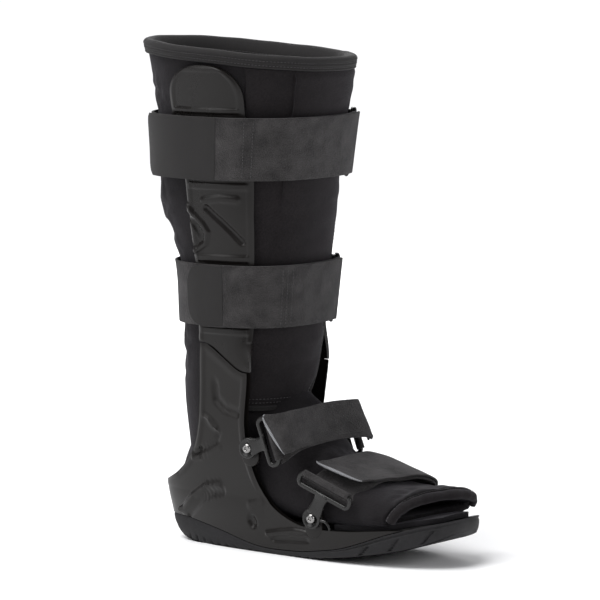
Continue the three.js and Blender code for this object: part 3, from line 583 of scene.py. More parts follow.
def thread():
    finish, tree, shader = node_finish("thread", (0.03, 0.029, 0.03), 0.55, sheen=0.1)
    twist = spots(tree, 2600, 2.0, 0.6)
    tinted(tree, shader, twist, (0.014, 0.0135, 0.014), (0.055, 0.053, 0.055))
    raised(tree, shader, (twist, 0.5, 0.1))
    return finish


def fitting_plastic():
    finish, tree, shader = node_finish("fitting_plastic", (0.007, 0.0068, 0.0066), 0.26, specular=0.4)
    grain = spots(tree, 900, 3.0, 0.6)
    scuffs = spots(tree, 90, 5.0, 0.7)
    tinted(tree, shader, scuffs, (0.006, 0.0058, 0.0056), (0.012, 0.0115, 0.011))
    tree.links.new(ramp(tree, scuffs, 0.35, 0.7, 0.2, 0.36), shader.inputs["Roughness"])
    raised(tree, shader, (grain, 0.12, 0.1))
    return finish


def rivet_steel():
    finish, tree, shader = node_finish("rivet_steel", (0.62, 0.61, 0.6), 0.22, metallic=1.0)
    brushed = spots(tree, 900, 2.0, 0.5, (1.0, 0.3, 1.0))
    tarnish = spots(tree, 260, 4.0, 0.7)
    tinted(tree, shader, tarnish, (0.2, 0.196, 0.19), (0.36, 0.355, 0.35))
    tree.links.new(ramp(tree, brushed, 0.3, 0.7, 0.16, 0.34), shader.inputs["Roughness"])
    raised(tree, shader, (brushed, 0.15, 0.05))
    return finish


def bed_foam():
    finish, tree, shader = node_finish("bed_foam", (0.014, 0.0135, 0.014), 0.88, specular=0.25)
    cells = add(tree, "ShaderNodeTexVoronoi", {"Scale": 1500.0})
    tree.links.new(add(tree, "ShaderNodeTexCoord").outputs["Object"], cells.inputs["Vector"])
    cloud = spots(tree, 60, 4.0, 0.6)
    tinted(tree, shader, cloud, (0.006, 0.0058, 0.006), (0.014, 0.0135, 0.014))
    raised(tree, shader, (cells.outputs["Distance"], 0.5, 0.25), (cloud, 0.2, 0.6))
    return finish


def studio_paper():
    finish, tree, shader = node_finish("studio_paper", (0.93, 0.93, 0.935), 0.85, specular=0.1)
    grain = spots(tree, 3.0, 3.0, 0.5)
    tinted(tree, shader, grain, (0.925, 0.925, 0.932), (0.94, 0.94, 0.945))
    return finish


SHELL = shell_plastic()
UPRIGHT = shell_plastic("upright_plastic", (0.0055, 0.0046, 0.0042), 0.28)
RUBBER = sole_rubber()
CLOTH = liner_cloth()
FLAP_CLOTH = liner_cloth("flap_cloth", (0.0038, 0.0031, 0.0034), (0.015, 0.0126, 0.0134))
LINING = liner_cloth("lining_cloth", (0.006, 0.0055, 0.0062), (0.016, 0.015, 0.0165))
PILE = strap_pile()
HOOK_TAB = woven_tape("hook_tab_cloth", (0.012, 0.0112, 0.0112), (0.032, 0.03, 0.03), 3.2, 3.2, 0.82, 0.35)
BINDING = woven_tape("edge_binding", (0.007, 0.0064, 0.0066), (0.03, 0.0275, 0.028), 3.6, 2.0, 0.8, 0.5)
THREAD = thread()
FITTING = fitting_plastic()
STEEL = rivet_steel()
FOAM = bed_foam()
# pale colour for the cord on the straps' lifted free ends: a painted highlight, not the cloth's own colour
PAINTED_HIGHLIGHT_EDGE = woven_tape("strap_end_painted_highlight", (0.13, 0.132, 0.138), (0.42, 0.425, 0.44), 2.6, 2.6, 0.9, 0.6)


# Base shell: foot cup with the lower uprights

SHELL_EDGE = [  # upper edge from toe to heel: forward, up, and where its column stands on the lower edge
    (181, 32.5, 181), (166, 31.5, 168), (150, 30, 153), (128, 27.8, 133), (106.6, 26.7, 114), (90, 26.5, 99),
    (75.4, 27.8, 86), (66, 30, 75), (57.2, 33.2, 65), (49, 37.2, 55.5), (41.6, 42.2, 46), (36.4, 48, 38),
    (32.2, 55.2, 31), (29.2, 62, 25), (27, 69.4, 20), (24.6, 80, 15), (22.9, 92.6, 11), (22, 103, 7.5),
    (21.8, 113.9, 4), (22.9, 125, 1.5), (24.2, 135.3, -1), (25.4, 146, -3.5), (26, 154.8, -6),
]
SHELL_SEAM = [
    (26, 154.8, -6), (20, 155.4, -8.5), (13, 158.5, -11), (3, 165.5, -15), (-8, 173, -20), (-16, 177.2, -24),
    (-23.4, 178, -27),
]
SHELL_REAR = [
    (-23.4, 178, -27), (-24.6, 166, -28.5), (-25.2, 156, -30), (-25.7, 142, -32), (-26.4, 128, -36),
    (-27.2, 117, -40), (-28.8, 106.8, -45), (-31.2, 97, -50), (-34.3, 89, -55), (-38.6, 82.4, -59),
    (-43.7, 76.5, -62.5), (-49, 71, -66), (-55, 65.9, -69.5), (-63, 60.5, -73.5), (-72.8, 55.6, -78),
    (-81, 52.4, -82), (-86, 50.8, -84.6), (-88, 50.2, -86),
]
# Raised and sunk marks in the mould: strokes of (forward, up), half width and height, in millimetres.
SHELL_MARKS = [
    ([(-8.9, 144), (-7.9, 131.2), (1.7, 123.3), (14.5, 120.1)], 4.4, -1.8),
    ([(-22, 115), (-18.6, 113.1), (-6.9, 103.7)], 2.6, 1.7),
    ([(-36.1, 81), (-19.9, 87.6), (-9.2, 93.7), (-5.9, 100.8)], 2.8, -1.5),
    ([(-38, 76), (-20, 82.5), (-6, 89)], 2.6, 0.9),
    ([(-61.4, 26.6), (-43.9, 42.2), (-26.6, 52.5), (-12.6, 55.1)], 4.0, 2.3),
    ([(-54, 23), (-36, 38), (-22, 46), (-9, 49)], 3.2, -1.5),
    ([(20.1, 27.4), (22.1, 24.4)], 5.6, -2.0),
    ([(20, 40), (30, 44)], 6.0, 0.7),
    ([(38, 17), (52, 20), (68, 22.5), (81, 22)], 3.2, 1.7),
    ([(44.8, 13), (62, 14.5), (81.5, 15.7)], 3.4, -1.2),
]


def shell_relief(forward, up):
    height = 0.0
    for stroke, half_width, depth in SHELL_MARKS:
        gap, _ = near_stroke(forward, up, stroke)
        height += depth * (1 - smooth(gap, 0.25 * half_width, half_width))
    return height


SHELL_LINES = [[(row[0], row[1]) for row in table] for table in (SHELL_EDGE, SHELL_SEAM, SHELL_REAR)]
BEAD_INSET = 3.4


def edge_bead(forward, up):
    """A soft raised bead just inside the moulded edges."""
    gap = min(near_stroke(forward, up, line)[0] for line in SHELL_LINES)
    return 0.8 * (1 - smooth(abs(gap - BEAD_INSET), 0.6, BEAD_INSET))


def between(table, share):
    place = clamp(share) * (len(table) - 1)
    index = min(int(place), len(table) - 2)
    part = place - index
    points = [Vector(row) for row in table]
    start, end = points[index], points[index + 1]
    behind = (end - points[index - 1]) / 2 if index else end - start
    ahead = (points[index + 2] - start) / 2 if index + 2 < len(points) else end - start
    square, cube = part * part, part ** 3
    return (
        start * (2 * cube - 3 * square + 1) + behind * (cube - 2 * square + part)
        + end * (3 * square - 2 * cube) + ahead * (cube - square)
    )


def shell_column(share):
    """Top and foot of one column of the shell's side, from the toe at 0 round to the heel's middle at 1."""
    for low, high, table in ((0, 0.52, SHELL_EDGE), (0.52, 0.66, SHELL_SEAM), (0.66, 1, SHELL_REAR)):
        if share <= high:
            return between(table, (share - low) / (high - low))
    return Vector(SHELL_REAR[-1])


def shell_skin(side, inset):
    """One face of a side wall: the outer one with its relief, or the inner one set in by the wall."""
    def place(across, along):
        top_forward, top_up, foot = shell_column(across)
        low = edge_line(foot) + GAP + 0.3 * (1 - along)
        up = mix(low, top_up, along)
        bend = along ** 1.25
        top_angle, low_angle = plan_angle(top_forward, top_up), plan_angle(foot, low)
        angle = mix(low_angle, top_angle, bend)
        if across > 0.999:
            angle = math.pi
        reach, forward = on_plan(min(angle, math.pi - 1e-6), up, inset)
        if inset:
            return at(side * abs(reach), forward, up)
        out = shell_relief(forward, up) * smooth(1 - along, 0, 0.08) if up > 8 else 0
        if 0.3 < across < 0.98:
            out += edge_bead(forward, up) * smooth(across, 0.3, 0.36) * (1 - smooth(across, 0.9, 0.98))
        scale = out / max(abs(reach), 1)
        return at(side * abs(reach) * (1 + scale), forward * (1 + (scale if forward < -60 else 0)), up)

    return sheet(230, 56, place, hub=at(0, 20, 40))


def shell_floor():
    def place(across, along):
        forward = mix(-80, 205, along)
        half = max(0.0, abs(on_plan(plan_angle(forward, 20, 5), 20, 5)[0]) - 0.5)
        return at((across - 0.5) * 2 * half, forward, under_line(forward) + GAP)

    return sheet(24, 90, place, hub=at(0, 0, -4000))


def shell_ear(side, forward, up, radius=9.0):
    """A boss of the shell behind a strap loop."""
    bm = bmesh.new()
    face = wall_side(forward + 9, up + 9)
    bmesh.ops.create_cone(bm, cap_ends=True, segments=40, radius1=radius * MM, radius2=radius * MM,
        depth=3.6 * MM)
    bmesh.ops.rotate(bm, verts=bm.verts, cent=(0, 0, 0), matrix=Matrix.Rotation(math.pi / 2, 3, "Y"))
    bmesh.ops.translate(bm, verts=bm.verts, vec=at(side * (face - 1.8), forward, up))
    rims = [edge for edge in bm.edges if len(edge.link_faces) == 2 and edge.calc_face_angle(0) > 0.8]
    bmesh.ops.bevel(bm, geom=rims, offset=0.8 * MM, offset_type="OFFSET", affect="EDGES", segments=3,
        profile=0.5, material=-1)
    return bm


EARS = [(-1, 27, 91), (-1, 27, 84), (1, 27, 91), (1, 27, 84), (-1, 90, 36), (-1, 90, 28), (1, 90, 36), (1,
    90, 28)]
walls = joined(*(shell_skin(side, inset) for inset in (0, SHELL_WALL) for side in (-1, 1)))
bmesh.ops.remove_doubles(walls, verts=[vert for vert in walls.verts if abs(vert.co.x) < 0.4 * MM],
    dist=0.5 * MM)
bmesh.ops.bridge_loops(walls, edges=[edge for edge in walls.edges if edge.is_boundary])
bmesh.ops.recalc_face_normals(walls, faces=walls.faces)
for edge in walls.edges:
    if edge.is_manifold and edge.calc_face_angle(0) > math.radians(50):
        edge.smooth = False
finished("base_shell_walls", walls, SHELL, replaces=("base_shell",))
finished("base_shell_floor", shell_floor(), SHELL, 2.6, 0.6, offset=1)
finished("base_shell_bosses", joined(*(shell_ear(*ear) for ear in EARS)), SHELL)

# Upper uprights

UPRIGHT_MARKS = [
    ([(-34, 301), (-24, 290), (-13, 280), (-8.7, 273.6), (-12, 264), (-22.6, 257.4)], 3.8, 2.0),
    ([(-26, 287), (-18, 276), (-14, 268), (-22, 262)], 4.0, -1.0),
    ([(-10.2, 300.6), (5, 303), (19.5, 302.2)], 4.4, 1.6),
    ([(-8.1, 294.8), (6.8, 282.8), (15, 275), (22.6, 266.7)], 3.6, -2.0),
]
UPRIGHT_RIBS = [(377.5, 1.9), (313.5, 2.6), (251.8, 2.6), (189.5, 2.6)]


def upright(side):
    def outline(along, across):
        share, middle = read(UPRIGHT_SECTIONS, 1, along), UPRIGHT_WIDTH * read(UPRIGHT_SECTIONS, 2, along)
        seam = between(SHELL_SEAM, 1 - across)[1] + 0.9
        half = PADDLE_WIDTH * share / 2
        # the paddle's top is a half round
        narrowed = 1.5 * smooth(along, 0.7, 0.8)
        middle, half = middle - narrowed, half - narrowed
        crown = clamp((along - 0.888) / 0.112, 0, 0.996)
        half *= (1 - crown ** 2.2) ** (1 / 2.2)
        up = seam + along * (UPRIGHT_TOP - seam)
        return middle + (across - 0.5) * 2 * half, up, half

    def place(across, along):
        eased = 1 - (1 - along) ** 1.12
        forward, up, half = outline(eased, across)
        out = UPRIGHT_THICKNESS
        edge = min(across, 1 - across)
        for height, half_width in UPRIGHT_RIBS:
            shape = 1 - smooth(abs(abs(up - height) - 0.45 * half_width), 0.3 * half_width, 0.95 * half_width)
            out += 1.1 * shape * smooth(edge, 0.04, 0.09)
        if up < 372 and up > 180:
            out += 0.9 * (1 - smooth(abs(edge - 0.05), 0.015, 0.05))
            for stroke, half_width, depth in UPRIGHT_MARKS:
                gap, _ = near_stroke(forward, up, stroke)
                out += depth * (1 - smooth(gap, 0.3 * half_width, half_width))
        if up >= 368:
            inner = min(2 * half * edge, UPRIGHT_TOP - up)
            out += 0.8 * (1 - smooth(abs(inner - 3.6), 0.8, 3.0)) * smooth(up, 368, 380) * smooth(inner, 0,
                1.2)
        return at(side * (upright_side(forward, up) + out), forward, up)

    return sheet(64, 300, place, hub=at(0, 0, 300))


for side, name in ((-1, "right"), (1, "left")):
    finished("upper_upright_" + name, upright(side), UPRIGHT, UPRIGHT_THICKNESS - 0.6, 0.8,
             replaces=("upright_" + name,), sharp=55)

# Outsole

SOLE_ROWS = [  # share of the way from the tread's middle over the wall, inset, share of the height
    (0.0, 40, 0.0), (0.2, 12, 0.0), (0.34, 2.6, 0.0), (0.42, 0.7, 0.14), (0.5, 0.0, 0.32), (0.66, -0.35,
        0.62),
    (0.86, 0, 0.96), (0.93, 0.35, 1.0), (0.97, 1.0, 1.0), (1.0, 5.6, 0.97),
]
SCALLOP_PITCH = 9.2
SLITS = (135, 162, 189, 222)


def outsole():
    """Tread, rounded lower corner, side wall with its slits, thin lip and the ledge under the shell."""
    def place(across, along):
        angle = 2 * math.pi * (across + 0.0005) - math.pi
        angle = math.copysign(abs(angle) ** 0.999, angle)
        inset, height = read(SOLE_ROWS, 1, along), read(SOLE_ROWS, 2, along)
        side, forward = on_plan(angle, 0, max(inset, -0.4) if inset < 39 else 40)
        ground, edge = ground_line(forward), edge_line(forward)
        front = smooth(forward, LIP_START, 1.6 * LIP_START)
        up = mix(ground, edge, clamp(height))
        tall = edge - ground
        # scallops of the tread where it bears, and slanted slits further forward
        if 0.3 < along < 0.62 and -60 < forward < 110:
            scallop = max(0.0, math.cos(forward * 2 * math.pi / SCALLOP_PITCH)) ** 8
            deep = 2.0 * scallop * (1 - smooth(height, 0.12, 0.4))
            side -= math.copysign(deep, side)
        if 0.42 < along < 0.9:
            for slit in SLITS:
                lean = slit + 15 * height
                gap = abs(forward - lean)
                side -= math.copysign(2.0 * (1 - smooth(gap, 0.9, 2.2)) * smooth(height, 0.02,
                    0.1) * (1 - smooth(height, 0.6, 0.72)), side)
        if tall > 6 and front > 0:
            groove = 1 - smooth(abs(height - 0.82), 0.03, 0.08)
            side -= math.copysign(0.8 * groove * front, side)
            side += math.copysign(0.5 * front * smooth(height, 0.86, 0.93), side)
        return at(side, forward, up)

    return sheet(420, 64, place, around=True, hub=at(0, 60, 18))


def sole_cap():
    """The sole's upper and lower faces inside its walls."""
    def upper(across, along):
        forward = mix(-84, 210, along)
        half = max(0.0, abs(on_plan(plan_angle(forward, 0, 1.2), 0, 1.2)[0]))
        return at((across - 0.5) * 2 * half, forward, mix(edge_line(forward) - 0.35, under_line(forward),
            smooth(forward, 84, 100)))

    def lower(across, along):
        forward = mix(-84.5, 209, along)
        half = max(0.0, abs(on_plan(plan_angle(forward, 0, 1.4), 0, 1.4)[0]))
        bar = 0.9 * smooth(abs(((forward / SCALLOP_PITCH) % 1) - 0.5), 0.1,
            0.2) if -58 < forward < 196 else 0.9
        channel = 1 - smooth(abs(abs(across - 0.5) - 0.24), 0.012, 0.02)
        rise = 1.4 * (1 - bar / 0.9) + 1.6 * channel
        rim = smooth(min(across, 1 - across), 0.03, 0.06)
        return at((across - 0.5) * 2 * half, forward, ground_line(forward) + 0.04 + rise * rim)

    return joined(sheet(10, 80, upper, hub=at(0, 60, -4000)), sheet(120, 500, lower, hub=at(0, 60, 4000)))


finished("outsole_wall", outsole(), RUBBER, replaces=("outsole",))
finished("outsole_tread", sole_cap(), RUBBER)


# Liner: one padded tube of leg and foot, open at the rim and at the toes

TOE_RIGHT = at(-0.9 * BALL_HALF_WIDTH, TOE_REACH - 56, 31)
TOE_TOP = at(0, TOE_REACH - 27, 65)
TOE_LEFT = at(0.83 * BALL_HALF_WIDTH, TOE_REACH - 30, 38)
TOE_WAY = (TOE_TOP - TOE_RIGHT).cross(TOE_LEFT - TOE_RIGHT).normalized()
if TOE_WAY.y > 0:
    TOE_WAY = -TOE_WAY
STRAP_HEIGHTS = (346, 220)
RIM_SINK, RIM_TILT = 1.0, 2.5  # the worn rim hangs lower on the wearer's left


def tube_body(columns, rows, place):
    bm = sheet(columns, rows, place, around=True)
    ends = [edge for edge in bm.edges if edge.is_boundary]
    bmesh.ops.holes_fill(bm, edges=ends, sides=0)
    bmesh.ops.recalc_face_normals(bm, faces=bm.faces)
    return bm


def leg_body():
    return tube_body(72, 84, lambda across, along: on_leg(2 * math.pi * across, mix(52, RIM_HEIGHT + 16,
        along)))


def foot_body():
    return tube_body(
        64, 84, lambda across, along: on_foot(2 * math.pi * across, mix(-0.93 * HEEL_REACH, TOE_REACH + 12,
            along)))


def laid_out(name, bm):
    mesh = bpy.data.meshes.new(name)
    bm.to_mesh(mesh)
    bm.free()
    pad = bpy.data.objects.new(name, mesh)
    bpy.context.scene.collection.objects.link(pad)
    return pad


def settled(pad):
    """The pad's mesh as its modifiers leave it."""
    graph = bpy.context.evaluated_depsgraph_get()
    return bpy.data.meshes.new_from_object(pad.evaluated_get(graph))


def place_of(spot):
    """Side, forward and up in millimetres."""
    return spot.x / MM, -spot.y / MM, spot.z / MM


def round_leg(spot):
    """Degrees round the leg: 0 faces the toe and 90 the wearer's right."""
    side, forward, up = place_of(spot)
    return math.degrees(math.atan2(-side / leg_half_width(up), (forward - leg_axis(up)) / leg_half_depth(up)))


def liner_slack(spot):
    """How free the liner is to swell: between the straps at the back, and on the foot beside its straps."""
    side, forward, up = place_of(spot)
    if up > 128:
        share = smooth(abs(round_leg(spot)), 112, 132) * smooth(RIM_HEIGHT - up, 14, 34) * smooth(up, 150,
            165)
        for height in STRAP_HEIGHTS:
            share *= smooth(abs(up - height), 27, 38)
        return share
    open_top = smooth(up - max(edge_line(forward), 30), 22, 34)
    between_straps = smooth(forward, 78, 84) * (1 - smooth(forward, 92, 98))
    by_toes = smooth(forward, 148, 156)
    return open_top * max(between_straps, by_toes) * 0.8


def liner_creases(spot):
    """Soft creases pressed into the padding, in millimetres outward."""
    side, forward, up = place_of(spot)
    low = noise.noise(Vector((side * 0.016, forward * 0.016, up * 0.012))) * 0.8
    if up > 128:
        back = smooth(abs(round_leg(spot)), 105, 130)
        folds = noise.noise(Vector((side * 0.02, forward * 0.02, up * 0.11 + side * 0.02))) * 0.7
        seam = -1.3 * (1 - smooth(abs(up - 148 - 0.03 * side), 0.8, 3.2)) * back
        return back * (low + folds * smooth(RIM_HEIGHT - up, 20, 60)) + seam
    across = noise.noise(Vector((side * 0.035 + forward * 0.02, forward * 0.13, up * 0.05)))
    return low * 0.6 + 1.3 * across * smooth(forward, 30, 60) * smooth(up - max(edge_line(forward), 30), 14,
        26)


def swollen(pad, slack, most):
    """Lets the pad fill out by simulation where it is free to, by at most so many millimetres."""
    rest = [vert.co.copy() for vert in pad.data.vertices]
    free = [slack(spot) for spot in rest]
    spots_now = rest
    held = pad.vertex_groups.new(name="held")
    for index, share in enumerate(free):
        held.add([index], 1 - share, "REPLACE")
    cloth = pad.modifiers.new("swell", "CLOTH")
    cloth.settings.quality = 4
    cloth.settings.mass = 0.25
    cloth.settings.use_pressure = True
    cloth.settings.uniform_pressure_force = 4
    cloth.settings.shrink_min = -0.04
    cloth.settings.vertex_group_mass = "held"
    cloth.settings.effector_weights.gravity = 0
    for frame_number in range(1, 21):
        bpy.context.scene.frame_set(frame_number)
    filled = settled(pad)
    spots_now = [vert.co.copy() for vert in filled.vertices]
    bpy.data.meshes.remove(filled)
    pad.modifiers.remove(cloth)
    pad.vertex_groups.clear()
    bpy.context.scene.frame_set(1)
    normals = [vert.normal.copy() for vert in pad.data.vertices]
    for index, vert in enumerate(pad.data.vertices):
        step = spots_now[index] - rest[index]
        if step.length > most * MM:
            step = step.normalized() * most * MM
        share = smooth(free[index], 0.0, 0.25)
        vert.co = rest[index] + step * share + normals[index] * liner_creases(rest[index]) * MM


def padded_liner():
    pad = laid_out("liner_form", joined(leg_body(), foot_body()))
    union = pad.modifiers.new("one_skin", "REMESH")
    union.mode = "VOXEL"
    union.voxel_size = 5 * MM
    mesh = settled(pad)
    pad.modifiers.clear()
    pad.data = mesh
    bm = bmesh.new()
    bm.from_mesh(mesh)
    for _ in range(3):
        bmesh.ops.smooth_vert(bm, verts=bm.verts, factor=0.5, use_axis_x=True, use_axis_y=True,
            use_axis_z=True)
    bm.to_mesh(mesh)
    bm.free()
    swollen(pad, liner_slack, 1.6)
    bm = bmesh.new()
    bm.from_mesh(pad.data)
    bpy.data.objects.remove(pad)
    cuts = (
        (at(0, -LEG_SETBACK, RIM_HEIGHT - RIM_SINK - 4.5),
         Vector((RIM_TILT / RIM_HALF_WIDTH, -RIM_FALL / 2 / RIM_HALF_DEPTH, 1)).normalized()),
        (TOE_TOP, TOE_WAY),
    )
    for spot, way in cuts:
        everything = list(bm.verts) + list(bm.edges) + list(bm.faces)
        bmesh.ops.bisect_plane(bm, geom=everything, dist=1e-6, plane_co=spot, plane_no=way, clear_outer=True)
    bmesh.ops.recalc_face_normals(bm, faces=bm.faces)
    if sum((face.calc_center_median() - at(0, -16, 250)).dot(face.normal) for face in bm.faces) < 0:
        bmesh.ops.reverse_faces(bm, faces=bm.faces)
    return bm


liner = finished("liner_padding", padded_liner(), CLOTH, LINER_WALL, divide=1,
    replaces=("liner",))
liner.data.materials.append(LINING)
liner.modifiers["wall"].material_offset = 1

# Shin flap

FLAP_FOOT = 123
FLAP_CORNER = 27
FLAP_HIDDEN_EDGE = 62
FLAP_TOP = RIM_HEIGHT - 9 - GAP


def flap_place(across, along, out):
    up = FLAP_FOOT + along * (FLAP_TOP - FLAP_FOOT)
    corner = FLAP_CORNER * (1 - smooth(up, FLAP_FOOT, FLAP_FOOT + 2 * FLAP_CORNER)) ** 2
    free = -35 - 20 * smooth(along, 0.2, 1) + corner
    spot = on_leg(math.radians(free + across * (FLAP_HIDDEN_EDGE - free)), up, EASE + out)
    if across > 0.7:
        # the hidden edge slips in behind the upright
        behind = -(upright_side(-spot.y / MM, up) - 0.6) * MM
        spot.x = mix(spot.x, max(spot.x, behind), smooth(across, 0.7, 0.76))
    return spot


def flap_out(across, along):
    """The flap's outer face: thin at its bound edges and fuller between the straps."""
    up = FLAP_FOOT + along * (FLAP_TOP - FLAP_FOOT)
    from_edge = min(across * 104, along * 296, (1 - along) * 296 + 4)
    full = smooth(from_edge, 1.5, 11)
    between_straps = 1.0
    for height in STRAP_HEIGHTS:
        between_straps *= smooth(abs(up - height), 27, 44)
    folds = noise.noise(Vector((across * 2.2, up * 0.055, 3.0))) + 0.5 * noise.noise(Vector((across * 5,
        up * 0.12, 8.0)))
    return 2.5 + 1.2 * full + between_straps * full * (1.1 + 1.1 * folds)


def shin_flap():
    return sheet(80, 160, lambda across, along: flap_place(across, along, flap_out(across, along)), hub=at(0,
        -16, 270))


def flap_line(inset, lift=0.0):
    """A line inside the flap's free edge and lower edge, from the top down and round its corner."""
    wide = inset / 106
    high = inset / (FLAP_TOP - FLAP_FOOT)
    down = [(wide, mix(1, high + 0.03, step / 60)) for step in range(61)]
    turn = [
        (wide + 0.03 * (1 - math.cos(step / 6 * math.pi / 2)),
            high + 0.03 * (1 - math.sin(step / 6 * math.pi / 2)))
        for step in range(1, 7)
    ]
    along_foot = [(mix(wide + 0.03, 1, step / 30), high) for step in range(1, 31)]
    return [flap_place(a, b, flap_out(a, b) + lift) for a, b in down + turn + along_foot]


def from_leg(spot, index=0):
    return Vector((spot.x, spot.y + leg_axis(spot.z / MM) * MM, 0)).normalized()


flap = finished("shin_flap_padding", shin_flap(), FLAP_CLOTH, 3.2, 1.0,
    replaces=("shin_flap",))
flap_edge = tube(flap_line(0.0, -0.9), 2.7, sides=14)
finished("shin_flap_binding", flap_edge, BINDING)
finished("shin_flap_stitches", joined(
    stitches(flap_line(4.6, 0.1), from_leg, 3.2, 2.4, 0.7),
    stitches(flap_line(8.0, 0.1), from_leg, 3.2, 2.4, 0.7)), THREAD)

# Rim tape, folded over the liner's upper edge

RIM_SECTION = [  # share of the way round the section, out, up
    (0, 0.3, -8.6), (0.06, 1.5, -9.4), (0.12, 2.3, -8.4), (0.18, 1.75, -6.8), (0.25, 2.5, -4.8), (0.32, 1.95,
        -3.0),
    (0.38, 2.5, -1.2), (0.44, 1.7, 0.9), (0.5, 0.1, 2.2), (0.56, -2.0, 2.6), (0.62, -4.6, 2.0), (0.7, -6.6,
        0.2),
    (0.76, -8.2, -2.6), (0.82, -9.3, -5.6), (0.88, -9.9, -8.8), (0.94, -9.9, -11.2), (0.98, -9.2, -12.6), (1,
        -8.0, -12.2),
]


def rim_step(angle):
    """The outer flap's rim stands over the inner one: a free step at the left, none at the hidden edge."""
    turn = (math.degrees(angle) + 180) % 360 - 180
    return 3.2 * smooth(turn, -56.5, -54.5) * (1 - smooth(turn, 30, 62))


def rim_place(angle, out, up):
    outside = smooth(out, -7, -1)
    wave = 0.5 * noise.noise(Vector((math.cos(angle) * 3, math.sin(angle) * 3, 1.0)))
    sunk = RIM_TILT * math.sin(angle) - RIM_SINK
    return on_leg(angle, RIM_HEIGHT + up + wave + sunk, out + rim_step(angle) * outside + 0.4)


def rim_tape():
    def place(across, along):
        return rim_place(2 * math.pi * across, read(RIM_SECTION, 1, along), read(RIM_SECTION, 2, along))

    bm = sheet(320, 40, place, (520, 30), around=True)
    loose = [edge for edge in bm.edges if edge.is_boundary]
    bmesh.ops.bridge_loops(bm, edges=loose)
    bmesh.ops.recalc_face_normals(bm, faces=bm.faces)
    return bm


def rim_line(out, up, steps=320):
    return [rim_place(2 * math.pi * step / steps, out, up) for step in range(steps + 1)]


rim = finished("rim_binding_tape", rim_tape(), BINDING, replaces=("rim_binding",))
finished("rim_stitches", joined(
    stitches(rim_line(1.9, -6.8), from_leg, 3.0, 2.2, 0.6),
    stitches(rim_line(2.1, -3.0), from_leg, 3.0, 2.2, 0.6),
    stitches(rim_line(-9.9, -8.4), lambda spot, index: -from_leg(spot), 3.0, 2.2, 0.6)), THREAD)

# Toe roll and the padded bed behind it


def toe_line(out=0.0, ahead=0.0, steps=90):
    places = []
    for step in range(steps + 1):
        angle = math.pi * step / steps
        forward = TOE_REACH - 27.0
        for _ in range(14):
            spot = on_foot(angle, forward, -LINER_WALL / 2)
            forward += (spot - TOE_TOP).dot(TOE_WAY) / TOE_WAY.y / MM
        reach = mix(4.4, 1.5, smooth(step / steps, 0.66, 1))
        places.append(on_foot(angle, forward, out - LINER_WALL / 2) + TOE_WAY * (reach + ahead) * MM)
    return places


def roll_radius(share):
    return mix(4.3, 3.2, smooth(share, 0.66,
        1)) + 0.3 * math.sin(share * 41) * math.sin(share * 9) + 0.25 * noise.noise(Vector((share * 24, 2,
        5)))


def foot_out(spot, index=0):
    return Vector((spot.x, 0, spot.z - 0.03)).normalized()


roll = finished("toe_roll_padding", tube(toe_line(), roll_radius, sides=28), FLAP_CLOTH,
    divide=1,
                replaces=("toe_roll",))
finished("toe_roll_stitches", stitches(toe_line(4.35, -1.6), foot_out, 3.0, 2.2, 0.6), THREAD)


def bed_sheet(start, end, inset, height):
    def place(across, along):
        forward = mix(start, end, 1 - (1 - along) ** 1.6)
        half = abs(on_plan(plan_angle(forward, 20, inset), 20, inset)[0])
        return at((across - 0.5) * 2 * half, forward, height(forward, across))

    return sheet(30, 110, place, (90, 300), hub=at(0, 60, -4000))


def lining_height(forward, across):
    crown = 0.7 * (1 - (2 * across - 1) ** 4)
    return bed_line(forward) + GAP + 4.4 + crown + 0.5 * noise.noise(Vector((across * 3, forward * 0.05, 2)))


sole_pad = finished("liner_sole_pad", bed_sheet(0.5 * TOE_REACH, TOE_REACH - 12, 8.2, lining_height), LINING,
                    4.2, 1.5)
bed_foam_piece = finished(
    "insole_foam", bed_sheet(-HEEL_REACH + 7, TOE_REACH - 7, 6.2, lambda forward,
        across: bed_line(forward)), FOAM,
    2.0, 0.6, replaces=("insole",))


# Calf straps: a band round the leg, a ring between its ends and the free run folded back over the shin

RING_SEAT = STRAP_THICKNESS - RING_WIRE / 2
RING_MIDDLE = RING_SEAT + RING_WIRE / 2
BEND = 2.7
CALF_STRAPS = [  # name, height, angle of the tab's end, degrees at which the sewn rows stand, tab's sewn end
    ("upper", 346, 138, (62.5, 56.4), 80),
    ("lower", 220, 104, (29.3, 24.7, 19.9), 80),
]


def ring_half(height):
    centre = math.radians(RING_ANGLE)
    half = RING_WIDTH / 2 / leg_half_depth(height)
    for _ in range(8):
        chord = (on_band(centre + half, height, RING_SEAT) - on_band(centre - half, height,
            RING_SEAT)).length / MM
        half *= (RING_WIDTH + 2 * EASE) / chord
    return half


def ring_axes(height):
    """The ring's middle, and its ways up, toward the wearer's right and out."""
    half, centre = ring_half(height), math.radians(RING_ANGLE)

    def middle(up):
        return (on_band(centre + half, up, RING_SEAT) + on_band(centre - half, up, RING_SEAT)) / 2

    top, bottom = middle(height + STRAP_WIDTH / 2), middle(height - STRAP_WIDTH / 2)
    upward = (top - bottom).normalized()
    near, far = on_band(centre + half, height, RING_SEAT), on_band(centre - half, height, RING_SEAT)
    outward = upward.cross(near - far).normalized()
    along = outward.cross(upward)
    return (top + bottom) / 2 + outward * RING_WIRE / 2 * MM, upward, along, outward


def round_bar(height, up, bar, start, end, steps=14):
    """Places of a strap's middle face round one bar of the ring, from one turn to another in degrees."""
    seat, upward, along, outward = ring_axes(height)
    centre = seat + along * bar * (RING_WIDTH - RING_WIRE) / 2 * MM + upward * (up - height) * MM
    places = []
    for step in range(steps + 1):
        turn = math.radians(mix(start, end, step / steps))
        places.append(centre + (along * math.cos(turn) + outward * math.sin(turn)) * BEND * MM)
    return places


